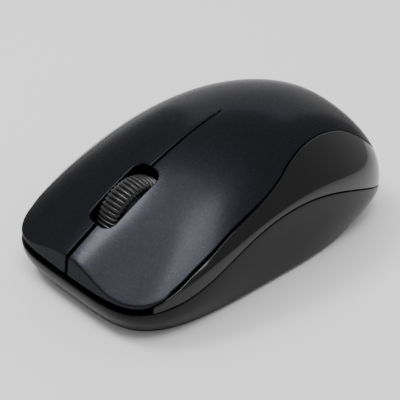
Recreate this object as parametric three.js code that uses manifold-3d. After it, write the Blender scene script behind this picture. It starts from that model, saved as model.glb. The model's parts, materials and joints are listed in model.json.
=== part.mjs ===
// Compact three-button wireless mouse, in millimetres.
// +Z is up, the keys point towards -Y, the left side is +X, and the origin lies on the table under
// the middle of the body.
import * as THREE from 'three';
import { mergeVertices } from 'three/addons/utils/BufferGeometryUtils.js';
import Module from 'manifold-3d';

const wasm = await Module();
wasm.setup();

// Driving dimensions.
const body = {
  length: 100,
  width: 58,
  height: 39.2,
  widestY: 1.3,
  noseSquareness: 4.64,
  tailSquareness: 3.6,
};
// Heights along the body at six even stations from nose to tail: the seam between base and middle
// shell, and the crown's centre line as a share of the height.
const beltHeights = [9.1, 12.9, 22.3, 23.8, 17.1, 7];
const crownShares = [0.407, 0.7, 0.91, 1, 0.91, 0.67];
const dome = { shoulderDrop: 12.7, tailDrop: 3.1, squareness: 1.9, wallRise: 36.1, noseRise: 7.9 };
const lip = { noseRadius: 0.44, tailRadius: 3 };
const groove = { depth: 0.7, x: 14, halfWidth: 7, frontY: -46, backY: -16 };
const base = {
  bottomZ: 0.7,
  floor: 2,
  wall: 1.8,
  sideTuck: 2.3,
  noseTuck: 3.4,
  tailTuck: 2.9,
  noseSquareness: 4.1,
  tailSquareness: 2.75,
  chamfer: 0.9,
  seamGap: 0.35,
};
const tongue = { clearance: 0.8, thickness: 1.2, height: 0.9 };
const middle = { wall: 1.6, ledge: 3, ledgeThickness: 1.4, startRise: 0.2 };
// The cover's edge from nose to tail: angle from +X in degrees, rise up the wall, and the angle
// of the point below it on the belt.
const coverEdge = [
  [-90, 0.045, -90],
  [-75, 0.045, -75],
  [-63, 0.045, -63],
  [-58.5, 0.07, -59.5],
  [-56, 0.16, -57],
  [-51.6, 0.335, -52.5],
  [-45, 0.43, -46],
  [-37, 0.51, -37],
  [-20, 0.575, -20],
  [-4, 0.665, -4],
  [11, 0.757, 11],
  [27, 0.817, 26],
  [41, 0.843, 38],
  [51, 0.838, 47],
  [58.5, 0.79, 55],
  [61.8, 0.68, 61],
  [63.3, 0.52, 66.5],
  [65.2, 0.405, 71],
  [69.5, 0.33, 76],
  [78, 0.29, 82],
  [90, 0.28, 90],
];
const cover = { thickness: 1.8, clearance: 0.3, noseGap: 1.1, tailGap: 0.3 };
const key = { hingeY: 2.4, hingeGap: 0.3, slit: 1.2, pressDegrees: 1.05, post: 3, postGap: 0.3 };
const wheel = {
  backY: -15.9,
  z: 18.1,
  radius: 11.1,
  tyre: 2.1,
  width: 6.9,
  crown: 0.5,
  axle: 1.4,
  windows: 16,
  windowRadius: 0.65,
  windowRing: 5.3,
  detentRadius: 3,
};
// A larger wheel reaches further forward, because the sensor and the cell lie behind it.
wheel.y = wheel.backY - wheel.radius;
// The slot in the cover over the wheel, which clears the rim where it passes through the cover.
const slotAhead = 1.9;
const slotGap = 0.62;
const coverOverAxle = 10.2;
const rimThroughCover = Math.sqrt(wheel.radius ** 2 - coverOverAxle ** 2);
const slot = {
  halfWidth: 4.35,
  frontY: wheel.y - wheel.radius - slotAhead,
  backY: wheel.y + rimThroughCover + slotGap,
  corner: 2.8,
};
const fit = { touch: 0.3, running: 0.3 };
const cradle = {
  inner: 4.8,
  plate: 1.2,
  pinAhead: 0.7,
  pinBelow: 7.1,
  pin: 1,
  ear: 2.2,
  bearing: 1.6,
  behind: 1.8,
  bar: 2,
  arm: 3,
  post: 2,
};
const board = { z: 8, thickness: 1.2, halfWidth: 18.3, frontY: -40, wheelHalf: 9.2, behind: 3.6 };
const boardTop = board.z + board.thickness;
const sensor = { wide: 9, long: 5.4, high: 1.5, aperture: 2.6, clearance: 0.57 };
// The sensor sits just behind the rim, the board ends behind the sensor, and the cell comes next.
const rimBelow = wheel.z - boardTop - fit.touch - sensor.high;
const rimBackY = wheel.y + Math.sqrt(wheel.radius ** 2 - rimBelow ** 2);
sensor.y = rimBackY + sensor.clearance + sensor.long / 2;
board.backY = sensor.y + board.behind;
const microSwitch = {
  x: 15.5,
  y: -30.4,
  wide: 5.8,
  long: 12.8,
  high: 6.4,
  plunger: 1.2,
  plungerY: -32.9,
  tip: 0.9,
  sunk: 0.7,
};
const tactSwitch = { x: 12.2, y: -19, wide: 6, long: 6, high: 3.8, plunger: 1.7, tip: 1.5, sunk: 0.8 };
const plungerWell = 1.6;
const chip = { x: -14.25, y: -19.75, wide: 4.5, long: 4.5, high: 0.9 };
const crystal = { x: -14.6, y: -14, wide: 7, long: 3.2, high: 2.6 };
const capacitor = { x: 14.8, y: -13.6, radius: 1.9, high: 5.4 };
const boardPost = { x: 16, y: -28, radius: 1.6 };
const encoder = { thickness: 2, wide: 4.4, aboveRing: 2, sight: 1.6 };
const cellBehind = 2.8;
const cell = {
  diameter: 14.5,
  length: 50.5,
  nub: 2.75,
  nubHeight: 1.2,
  frontY: board.backY + cellBehind,
};
const bay = { wall: 1.2, contact: 0.5, springLength: 2, wallTop: 12, sideGap: 0.4, overReceiver: 8 };
const contact = { high: 9, frontWide: 9, backWide: 10 };
const door = { halfWidth: 13.8, frontY: -10, backY: 41, thickness: 1.5, corner: 2 };
const grip = { count: 4, wide: 10, groove: 0.7, pitch: 1.6, depth: 0.4, start: 4 };
const receiver = {
  y: 2,
  thick: 4.5,
  high: 6.8,
  long: 12,
  sheet: 0.4,
  capThick: 4.9,
  capHigh: 7.4,
  capLong: 6.2,
  tongueThick: 1.4,
};
const foot = { thickness: 1, pocket: 0.6 };
const frontFoot = { x: 13, y: -38, wide: 13, long: 5 };
const rearFoot = { x: 20, y: 20, wide: 4.6, long: 15 };
const screw = { head: 1.9, headHeight: 0.9, shank: 1, length: 8, boss: 2.3, sink: 1.4, rib: 1.6 };
const frontScrew = { x: 21.2, y: -14 };
const rearScrew = { x: 17.4, y: 33.5 };
const power = {
  x: 13.5,
  y: -20,
  knobLong: 3.4,
  knobWide: 2.4,
  travel: 2.5,
  sideWall: 1.7,
  endWall: 1.3,
  top: 1,
  recess: 0.3,
};
const spring = { wire: 0.25, cradleRadius: 1.6, cellRadius: 3.6, cellTip: 2.2 };
const lead = { radius: 0.5, height: 1.1, positivePad: 11.35, negativePad: 9.75 };
const weld = 0.5;
const lens = { wide: 13, long: 7.4, corner: 1.5, top: 1.6 };
const led = { x: 10.75, behind: 1.5, wide: 2.5, long: 2.2, high: 3.4, clipWall: 0.5 };
const smooth = { body: 60, round: 32, hub: 24, small: 16 };

const group = new THREE.Group();
const halfLength = body.length / 2;
const halfWidth = body.width / 2;
const floorTop = base.bottomZ + base.floor;
const pinY = wheel.y - wheel.radius - cradle.pinAhead;
const pinZ = wheel.z - cradle.pinBelow;

const graphite = { color: 0x3f4046, roughness: 0.34, metalness: 0.65 };
const glossBlack = { color: 0x0c0c0e, roughness: 0.08, metalness: 0 };
const mattBlack = { color: 0x151517, roughness: 0.5, metalness: 0 };
const rubber = { color: 0x0f0f10, roughness: 0.75, metalness: 0 };
const greyAcetal = { color: 0x8b8d90, roughness: 0.45, metalness: 0 };
const whiteAcetal = { color: 0xd8d8d2, roughness: 0.4, metalness: 0 };
const glassLaminate = { color: 0x1d5b38, roughness: 0.4, metalness: 0 };
const tinPlate = { color: 0xb9bcc0, roughness: 0.25, metalness: 1 };
const steel = { color: 0x9a9da1, roughness: 0.3, metalness: 1 };
const clearPlastic = { color: 0xe8eef2, roughness: 0.08, metalness: 0 };
const redPlastic = { color: 0xb3261c, roughness: 0.25, metalness: 0 };
const cellJacket = { color: 0x2c3e57, roughness: 0.3, metalness: 0.4 };

function lerp(from, to, share) {
  return from + (to - from) * share;
}

function ease(from, to, value) {
  const share = Math.min(Math.max((value - from) / (to - from), 0), 1);
  return share * share * (3 - 2 * share);
}

// Natural cubic spline through values at even steps: s runs from 0 to values.length - 1.
function evenSpline(values) {
  const last = values.length - 1;
  const bend = values.map(() => 0);
  for (let sweep = 0; sweep < 40; sweep += 1) {
    for (let i = 1; i < last; i += 1) {
      const turn = values[i - 1] - 2 * values[i] + values[i + 1];
      bend[i] = (6 * turn - bend[i - 1] - bend[i + 1]) / 4;
    }
  }
  return (s) => {
    const i = Math.min(Math.max(Math.floor(s), 0), last - 1);
    const b = s - i;
    const a = 1 - b;
    const curve = (a ** 3 - a) * bend[i] + (b ** 3 - b) * bend[i + 1];
    return a * values[i] + b * values[i + 1] + curve / 6;
  };
}

const beltSpline = evenSpline(beltHeights);
const crownSpline = evenSpline(crownShares);

function station(y) {
  return ((y / halfLength + 1) / 2) * (beltHeights.length - 1);
}

function beltZ(y) {
  return beltSpline(station(y));
}

function crownZ(y) {
  return body.height * crownSpline(station(y));
}

// Radius of a squared oval about (0, widestY), with its own length and squareness front and rear.
function ovalRadius(angle, half, nose, tail, noseSquareness, tailSquareness) {
  const towardsNose = Math.sin(angle) < 0;
  const power = towardsNose ? noseSquareness : tailSquareness;
  const reach = towardsNose ? nose + body.widestY : tail - body.widestY;
  const across = Math.abs(Math.cos(angle)) / half;
  const along = Math.abs(Math.sin(angle)) / reach;
  return (across ** power + along ** power) ** (-1 / power);
}

function beltRadius(angle) {
  return ovalRadius(angle, halfWidth, halfLength, halfLength, body.noseSquareness, body.tailSquareness);
}

function footRadius(angle) {
  return ovalRadius(
    angle,
    halfWidth - base.sideTuck,
    halfLength - base.noseTuck,
    halfLength - base.tailTuck,
    base.noseSquareness,
    base.tailSquareness,
  );
}

function planPoint(angle, radius, z) {
  return new THREE.Vector3(radius * Math.cos(angle), body.widestY + radius * Math.sin(angle), z);
}

function fingerGroove(x, y) {
  const across = Math.exp(-(((Math.abs(x) - groove.x) / groove.halfWidth) ** 2));
  return groove.depth * across * (1 - ease(groove.frontY, groove.backY, y));
}

// A point of the dome. rise is 0 on the belt and 1 at the middle, inset goes in from the surface.
function domePoint(angle, rise, inset = 0, drop = 0) {
  const share = (1 - rise ** 2) ** (1 / 3);
  const point = planPoint(angle, share * (beltRadius(angle) - inset), 0);
  const along = point.y / halfLength;
  const sideways = (Math.abs(point.x) / halfWidth) ** dome.squareness;
  const fall = (dome.shoulderDrop + dome.tailDrop * along) * sideways;
  const roof = crownZ(point.y) - inset - fall - fingerGroove(point.x, point.y);
  const wall = beltZ(point.y) + (dome.wallRise - dome.noseRise * along) * rise;
  const radius = lerp(lip.noseRadius, lip.tailRadius, (along + 1) / 2) + inset / 2;
  point.z = (roof + wall) / 2 - Math.hypot((roof - wall) / 2, radius) - drop;
  return point;
}

// How much rise one millimetre along the surface takes.
function risePerMm(angle, rise) {
  const step = 0.01;
  return step / domePoint(angle, rise).distanceTo(domePoint(angle, rise + step));
}

const edgeCurve = new THREE.CatmullRomCurve3(
  coverEdge.map((row) => new THREE.Vector3(...row)),
  false,
  'catmullrom',
);

// The half loop of the cover's edge, from nose to tail.
function edgeStations(steps) {
  return edgeCurve.getPoints(steps).map((point) => ({
    angle: THREE.MathUtils.degToRad(point.x),
    rise: point.y,
    beltAngle: THREE.MathUtils.degToRad(point.z),
  }));
}

function mirrorAngle(angle) {
  return -Math.PI - angle;
}

// The full loop: +X side from nose to tail, then -X side back to the nose.
function mirrored(half, keepEnds) {
  const other = half.map((row) => ({
    ...row,
    angle: mirrorAngle(row.angle),
    beltAngle: mirrorAngle(row.beltAngle),
  }));
  other.reverse();
  return keepEnds ? [...half, ...other.slice(1)] : [...half, ...other.slice(1, -1)];
}

function facingOut(geometry) {
  const index = geometry.index.array;
  const place = geometry.attributes.position;
  const [a, b, c] = [new THREE.Vector3(), new THREE.Vector3(), new THREE.Vector3()];
  let volume = 0;
  for (let i = 0; i < index.length; i += 3) {
    a.fromBufferAttribute(place, index[i]);
    b.fromBufferAttribute(place, index[i + 1]);
    c.fromBufferAttribute(place, index[i + 2]);
    volume += a.dot(b.cross(c));
  }
  if (volume < 0) {
    for (let i = 0; i < index.length; i += 3) {
      [index[i + 1], index[i + 2]] = [index[i + 2], index[i + 1]];
    }
  }
  return geometry;
}

// Joins loops of points into a closed skin. Its two ends are closed by a fan about each end
// loop's middle, or by flat faces.
function loft(loops, flatEnds = false) {
  const count = loops[0].length;
  const points = loops.flat();
  const faces = [];
  for (let row = 0; row < loops.length - 1; row += 1) {
    for (let i = 0; i < count; i += 1) {
      const j = (i + 1) % count;
      const [p, q] = [row * count + i, row * count + j];
      faces.push(p, q, q + count, p, q + count, p + count);
    }
  }
  for (const row of [0, loops.length - 1]) {
    const flip = row > 0;
    const offset = row * count;
    const cap = flatEnds ? flatCap(loops[row]) : fanCap(loops[row], points, offset);
    for (const [p, q, r] of cap) {
      faces.push(...(flip ? [p + offset, q + offset, r + offset] : [q + offset, p + offset, r + offset]));
    }
  }
  const geometry = new THREE.BufferGeometry().setFromPoints(points);
  geometry.setIndex(new THREE.BufferAttribute(new Uint32Array(faces), 1));
  return facingOut(geometry);
}

function fanCap(loop, points, offset) {
  const middlePoint = new THREE.Vector3();
  loop.forEach((point) => middlePoint.addScaledVector(point, 1 / loop.length));
  points.push(middlePoint);
  const hub = points.length - 1 - offset;
  return loop.map((_, i) => [i, (i + 1) % loop.length, hub]);
}

function flatCap(loop) {
  const outline = loop.map((point) => new THREE.Vector2(Math.hypot(point.x, point.y), point.z));
  const clockwise = THREE.ShapeUtils.isClockWise(outline);
  const faces = THREE.ShapeUtils.triangulateShape(outline, []);
  return clockwise ? faces.map(([p, q, r]) => [p, r, q]) : faces;
}

function toSolid(geometry) {
  const bare = geometry.clone();
  bare.deleteAttribute('normal');
  bare.deleteAttribute('uv');
  const merged = mergeVertices(bare, 1e-4);
  return new wasm.Manifold(
    new wasm.Mesh({
      numProp: 3,
      vertProperties: new Float32Array(merged.attributes.position.array),
      triVerts: new Uint32Array(merged.index.array),
    }),
  );
}

function toGeometry(solid) {
  const mesh = solid.getMesh();
  const geometry = new THREE.BufferGeometry();
  geometry.setAttribute('position', new THREE.BufferAttribute(mesh.vertProperties, 3));
  geometry.setIndex(new THREE.BufferAttribute(mesh.triVerts, 1));
  return geometry;
}

function join(...pieces) {
  return pieces.map(asSolid).reduce((whole, piece) => whole.add(piece));
}

function cut(whole, ...pieces) {
  return pieces.map(asSolid).reduce((rest, piece) => rest.subtract(piece), asSolid(whole));
}

function asSolid(piece) {
  return piece.isBufferGeometry ? toSolid(piece) : piece;
}

function add(name, piece, finish) {
  const geometry = piece.isBufferGeometry ? piece : toGeometry(piece);
  const mesh = new THREE.Mesh(geometry, new THREE.MeshStandardMaterial(finish));
  mesh.name = name;
  group.add(mesh);
}

function box([x0, x1], [y0, y1], [z0, z1]) {
  const geometry = new THREE.BoxGeometry(x1 - x0, y1 - y0, z1 - z0);
  return geometry.translate((x0 + x1) / 2, (y0 + y1) / 2, (z0 + z1) / 2);
}

function column(x, y, radius, z0, z1, sides = smooth.small) {
  const geometry = new THREE.CylinderGeometry(radius, radius, z1 - z0, sides);
  return geometry.rotateX(Math.PI / 2).translate(x, y, (z0 + z1) / 2);
}

// A round bar along X.
function crossBar(y, z, radius, x0, x1, sides = smooth.small) {
  const geometry = new THREE.CylinderGeometry(radius, radius, x1 - x0, sides);
  return geometry.rotateZ(Math.PI / 2).translate((x0 + x1) / 2, y, z);
}

function roundedRectangle(wide, long, corner) {
  const shape = new THREE.Shape();
  const [x, y] = [wide / 2 - corner, long / 2 - corner];
  shape.absarc(x, y, corner, 0, Math.PI / 2);
  shape.absarc(-x, y, corner, Math.PI / 2, Math.PI);
  shape.absarc(-x, -y, corner, Math.PI, 1.5 * Math.PI);
  shape.absarc(x, -y, corner, 1.5 * Math.PI, 2 * Math.PI);
  return shape;
}

function pad(x, y, wide, long, corner, z0, z1) {
  const geometry = new THREE.ExtrudeGeometry(roundedRectangle(wide, long, corner), {
    depth: z1 - z0,
    bevelEnabled: false,
    curveSegments: 4,
  });
  return geometry.translate(x, y, z0);
}

// A plate standing across X, drawn in the (y, z) plane.
function standingPlate(points, x0, x1) {
  const shape = new THREE.Shape(points.map(([y, z]) => new THREE.Vector2(y, z)));
  const geometry = new THREE.ExtrudeGeometry(shape, { depth: x1 - x0, bevelEnabled: false });
  geometry.rotateX(Math.PI / 2);
  geometry.rotateZ(Math.PI / 2);
  return geometry.translate(x0, 0, 0);
}

function wire(points, radius, steps, sides = 8) {
  const ring = [];
  for (let i = 0; i < sides; i += 1) {
    const turn = (2 * Math.PI * i) / sides;
    ring.push(new THREE.Vector2(radius * Math.cos(turn), radius * Math.sin(turn)));
  }
  return new THREE.ExtrudeGeometry(new THREE.Shape(ring), {
    steps,
    bevelEnabled: false,
    extrudePath: new THREE.CatmullRomCurve3(points),
  });
}

function helix(centre, radius, tipRadius, length, turns, toward) {
  const points = [];
  const perTurn = 10;
  for (let i = 0; i <= turns * perTurn; i += 1) {
    const share = i / (turns * perTurn);
    const turn = 2 * Math.PI * turns * share;
    const reach = lerp(radius, tipRadius, share);
    const across = new THREE.Vector3(reach * Math.cos(turn), reach * Math.sin(turn), length * share);
    points.push(across.applyQuaternion(toward).add(centre));
  }
  return points;
}

function bothSides(make) {
  make('left', 1);
  make('right', -1);
}

function baseRadius(angle, share) {
  const outward = 1 - (1 - share) ** 2;
  return lerp(footRadius(angle), beltRadius(angle), outward);
}

function baseBowl() {
  const rimZ = (angle) => domePoint(angle, 0).z - base.seamGap;
  const outerZ = base.bottomZ + base.chamfer;
  const inset = middle.wall + tongue.clearance;
  const tongueInner = inset + tongue.thickness;
  // the tongue is lower in front, where a pressed key comes down over it
  const tongueZ = (a) => {
    const top = domePoint(a, 0);
    return top.z + tongue.height - keyDrop(top.y);
  };
  const loops = [
    (a) => planPoint(a, footRadius(a) - base.chamfer, base.bottomZ),
    (a) => planPoint(a, baseRadius(a, 0), outerZ),
    (a) => planPoint(a, baseRadius(a, 0.25), lerp(outerZ, rimZ(a), 0.25)),
    (a) => planPoint(a, baseRadius(a, 0.55), lerp(outerZ, rimZ(a), 0.55)),
    (a) => planPoint(a, baseRadius(a, 1), rimZ(a)),
    (a) => planPoint(a, beltRadius(a) - inset, rimZ(a)),
    (a) => planPoint(a, beltRadius(a) - inset, tongueZ(a)),
    (a) => planPoint(a, beltRadius(a) - tongueInner, tongueZ(a)),
    (a) => planPoint(a, beltRadius(a) - tongueInner, lerp(floorTop, rimZ(a), 0.75)),
    (a) => planPoint(a, baseRadius(a, 0.4) - base.wall, lerp(floorTop, rimZ(a), 0.45)),
    (a) => planPoint(a, footRadius(a) - base.wall, floorTop + base.chamfer / 2),
    (a) => planPoint(a, footRadius(a) - base.wall - base.chamfer, floorTop),
  ];
  const angles = [];
  for (let i = 0; i < smooth.body; i += 1) {
    angles.push((2 * Math.PI * i) / smooth.body - Math.PI / 2);
  }
  return loft(loops.map((place) => angles.map(place)));
}

// End walls, side rails and the seats that hold the cell, joined to the floor around the door.
const cellZ = floorTop + fit.touch + cell.diameter / 2;
const bayHalf = cell.diameter / 2 + bay.sideGap;
const bayFrontY = cell.frontY - fit.touch - bay.contact - fit.touch;
const bayBackY = cell.frontY + cell.length + bay.springLength + 2 * fit.touch + bay.contact + fit.touch;

function bayWalls() {
  const endHalf = door.halfWidth - fit.touch;
  const railBottom = base.bottomZ + door.thickness + fit.touch;
  const walls = [
    box([-endHalf, endHalf], [bayFrontY - bay.wall, bayFrontY], [floorTop - weld, bay.wallTop]),
    box([-bayHalf, bayHalf], [bayBackY, bayBackY + bay.wall], [floorTop - weld, bay.wallTop]),
  ];
  const span = [bayFrontY - bay.wall / 2, bayBackY + bay.wall / 2];
  walls.push(box([bayHalf, bayHalf + bay.wall], span, [railBottom + 1, bay.wallTop]));
  // the rail beside the receiver stands over it
  const overReceiver = [railBottom + bay.overReceiver, bay.wallTop];
  walls.push(box([-bayHalf - bay.wall, -bayHalf], span, overReceiver));
  return walls;
}

function footPads(grow, z0, z1) {
  const pads = {};
  bothSides((side, sign) => {
    for (const [end, place] of [['front', frontFoot], ['rear', rearFoot]]) {
      const [wide, long] = [place.wide + 2 * grow, place.long + 2 * grow];
      const corner = Math.min(wide, long) / 2 - 0.1;
      pads[`foot_${end}_${side}`] = pad(sign * place.x, place.y, wide, long, corner, z0, z1);
    }
  });
  return pads;
}

function screwPlaces() {
  const places = {};
  bothSides((side, sign) => {
    places[`screw_front_${side}`] = [sign * frontScrew.x, frontScrew.y];
    places[`screw_rear_${side}`] = [sign * rearScrew.x, rearScrew.y];
  });
  return places;
}

function baseShell() {
  const below = base.bottomZ - 1;
  const pinPosts = [];
  bothSides((_, side) => {
    const from = cradle.inner + cradle.plate + fit.touch;
    const span = side > 0 ? [from, from + cradle.post] : [-from - cradle.post, -from];
    const reach = cradle.ear - 0.4;
    pinPosts.push(box(span, [pinY - reach, pinY + reach], [floorTop - weld, pinZ + reach]));
  });
  const boardPosts = [];
  bothSides((_, side) => {
    const { x, y, radius } = boardPost;
    boardPosts.push(column(side * x, y, radius, floorTop - weld, board.z - fit.touch));
  });
  const whole = join(baseBowl(), ...bayWalls(), ...pinPosts, ...boardPosts);
  const doorWide = 2 * (door.halfWidth + fit.touch);
  const doorLong = door.backY - door.frontY + 2 * fit.touch;
  const doorY = (door.frontY + door.backY) / 2;
  const openings = [
    pad(0, doorY, doorWide, doorLong, door.corner + fit.touch, below, floorTop + 0.05),
    column(0, sensor.y, sensor.aperture, below, floorTop + 1, smooth.round),
    knobWay(below, floorTop + 1),
    crossBar(pinY, pinZ, cradle.pin + fit.touch, -halfWidth, halfWidth),
    ...Object.values(footPads(fit.touch, below, base.bottomZ + foot.pocket)),
  ];
  for (const [x, y] of Object.values(screwPlaces())) {
    openings.push(column(x, y, screw.head + fit.touch, below, base.bottomZ + screw.sink));
    openings.push(column(x, y, screw.shank + fit.touch, below, floorTop + 1));
  }
  return cut(whole, ...openings);
}

// The room that the power knob slides in.
function knobWay(z0, z1) {
  const { x, y, knobLong, knobWide, travel } = power;
  const sideways = knobWide / 2 + fit.touch;
  const from = x - knobLong / 2 - fit.touch;
  const to = x + knobLong / 2 + travel + fit.touch;
  return box([from, to], [y - sideways, y + sideways], [z0, z1]);
}

// How far a pressed key comes down at one y.
function keyDrop(y) {
  return Math.max(0, key.hingeY - y) * Math.tan(THREE.MathUtils.degToRad(key.pressDegrees));
}

// One section of the middle shell: outer wall, the seat under the cover's edge, inner wall.
function middleSection({ angle, rise, beltAngle }) {
  const seat = cover.thickness + cover.clearance;
  const under = seat + middle.ledgeThickness;
  const drop = keyDrop(domePoint(angle, rise).y);
  const ledgeRise = rise + middle.ledge * risePerMm(angle, rise);
  const at = (v, inset, lowered) => domePoint(lerp(beltAngle, angle, v), rise * v, inset, lowered);
  const outer = [0, 0.2, 0.45, 0.7, 1].map((v) => at(v, 0, 0));
  const inner = [1, 0.7, 0.35].map((v) => at(v, lerp(middle.wall, under, v * v), drop * v * v));
  const foot = at(0, middle.wall, 0).setZ(outer[0].z);
  return [
    ...outer,
    domePoint(angle, rise, seat, drop),
    domePoint(angle, ledgeRise, seat, drop),
    domePoint(angle, ledgeRise, under, drop),
    ...inner,
    foot,
  ];
}

function middleShell() {
  const half = edgeStations(smooth.body / 2).filter((row) => row.rise >= middle.startRise);
  const sections = mirrored(half, true).map(middleSection);
  const bosses = [];
  for (const [x, y] of Object.values(screwPlaces())) {
    const side = Math.sign(x);
    const ribZ = beltZ(y) + 0.4;
    const wallX = outlineX(y) - middle.wall / 2;
    const rib = side > 0 ? [x, wallX] : [-wallX, x];
    bosses.push(column(x, y, screw.boss, floorTop + fit.touch, ribZ + screw.rib));
    bosses.push(box(rib, [y - screw.rib / 2, y + screw.rib / 2], [ribZ, ribZ + screw.rib]));
  }
  const holes = Object.values(screwPlaces()).map(([x, y]) => {
    const top = base.bottomZ + screw.sink + screw.length;
    return column(x, y, screw.shank + fit.touch, floorTop - 1, top);
  });
  return cut(join(loft(sections, true), ...bosses), ...holes);
}

// Half width of the belt at one y.
function outlineX(y) {
  const towardsNose = y < body.widestY;
  const reach = towardsNose ? halfLength + body.widestY : halfLength - body.widestY;
  const squareness = towardsNose ? body.noseSquareness : body.tailSquareness;
  const share = (Math.abs(y - body.widestY) / reach) ** squareness;
  return halfWidth * (1 - share) ** (1 / squareness);
}

// The whole top cover before it is divided into palm cover and keys.
function coverPlate() {
  const half = edgeStations(smooth.body / 2).map((row) => {
    const gapAngle = ease(THREE.MathUtils.degToRad(-60), THREE.MathUtils.degToRad(-10), row.angle);
    const gap = lerp(cover.noseGap, cover.tailGap, gapAngle);
    const open = ease(THREE.MathUtils.degToRad(-63), THREE.MathUtils.degToRad(-58), row.angle);
    return { ...row, rise: row.rise + gap * open * risePerMm(row.angle, row.rise) };
  });
  const loop = mirrored(half, false);
  const shares = [0.12, 0.3, 0.48, 0.64, 0.78, 0.9, 1];
  const surface = (inset) =>
    shares.map((share) =>
      loop.map(({ angle, rise }) => {
        const edge = Math.asin((1 - rise ** 2) ** (1 / 3));
        const inner = Math.sin(edge * share);
        return domePoint(angle, Math.sqrt(1 - inner ** 3), inset);
      }),
    );
  return toSolid(loft([...surface(0), ...surface(cover.thickness).reverse()]));
}

function region(x0, x1, y0, y1) {
  return toSolid(box([x0, x1], [y0, y1], [-5, body.height + 10]));
}

const plungerTipZ = boardTop + microSwitch.high + microSwitch.tip;

function addCovers() {
  const plate = coverPlate();
  const far = body.length;
  const palm = plate.intersect(region(-far, far, key.hingeY + key.hingeGap / 2, far));
  add('palm_cover', palm, graphite);
  const slotLong = slot.backY - slot.frontY;
  const slotY = (slot.frontY + slot.backY) / 2;
  const opening = toSolid(pad(0, slotY, 2 * slot.halfWidth, slotLong, slot.corner, -5, body.height + 10));
  bothSides((side, sign) => {
    const [x0, x1] = sign > 0 ? [key.slit / 2, far] : [-far, -key.slit / 2];
    const skin = plate.intersect(region(x0, x1, -far, key.hingeY - key.hingeGap / 2)).subtract(opening);
    const x = sign * microSwitch.x;
    const reach = key.post / 2;
    const top = coverUndersideZ(microSwitch.x, microSwitch.plungerY) + cover.thickness / 2;
    const post = box(
      [x - reach, x + reach],
      [microSwitch.plungerY - reach, microSwitch.plungerY + reach],
      [plungerTipZ + key.postGap, top],
    );
    add(`${side}_button`, join(skin, post), graphite);
  });
}

function coverUndersideZ(x, y) {
  const angle = Math.atan2(y - body.widestY, x);
  const radius = Math.hypot(x, y - body.widestY) / beltRadius(angle);
  return domePoint(angle, Math.sqrt(1 - radius ** 3)).z - cover.thickness;
}

function turnedAboutX(profile, segments) {
  const points = profile.map(([radius, x]) => new THREE.Vector2(radius, x));
  const geometry = new THREE.LatheGeometry(points, segments);
  return geometry.rotateZ(-Math.PI / 2).translate(0, wheel.y, wheel.z);
}

function addWheel() {
  const half = wheel.width / 2;
  const inner = wheel.radius - wheel.tyre;
  const shoulder = wheel.radius - wheel.crown;
  const tyreProfile = [
    [inner, -half],
    [shoulder - 0.6, -half],
    [shoulder, -half + 0.7],
    [wheel.radius, -half / 3],
    [wheel.radius, half / 3],
    [shoulder, half - 0.7],
    [shoulder - 0.6, half],
    [inner, half],
    [inner, -half],
  ];
  add('wheel_tyre', mergeVertices(turnedAboutX(tyreProfile, smooth.round)), rubber);
  const rim = inner - fit.touch;
  const shaftEnd = cradle.inner + cradle.plate + 1.2;
  const drumFrom = -(cradle.inner + cradle.plate + fit.touch);
  const drumTo = drumFrom - 2;
  const hubProfile = [
    [0, drumTo],
    [wheel.detentRadius, drumTo],
    [wheel.detentRadius, drumFrom],
    [wheel.axle, drumFrom],
    [wheel.axle, -half],
    [rim, -half + 0.4],
    [rim, half - 0.4],
    [wheel.axle, half],
    [wheel.axle, shaftEnd],
    [0, shaftEnd],
  ];
  const windows = [];
  for (let i = 0; i < wheel.windows; i += 1) {
    const turn = (2 * Math.PI * i) / wheel.windows;
    const y = wheel.y + wheel.windowRing * Math.cos(turn);
    const z = wheel.z + wheel.windowRing * Math.sin(turn);
    windows.push(crossBar(y, z, wheel.windowRadius, -half - 1, half + 1, 8));
  }
  const hub = facingOut(mergeVertices(stripped(turnedAboutX(hubProfile, smooth.hub))));
  add('wheel_hub', cut(hub, ...windows), greyAcetal);
}

function stripped(geometry) {
  geometry.deleteAttribute('normal');
  geometry.deleteAttribute('uv');
  return geometry;
}

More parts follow.
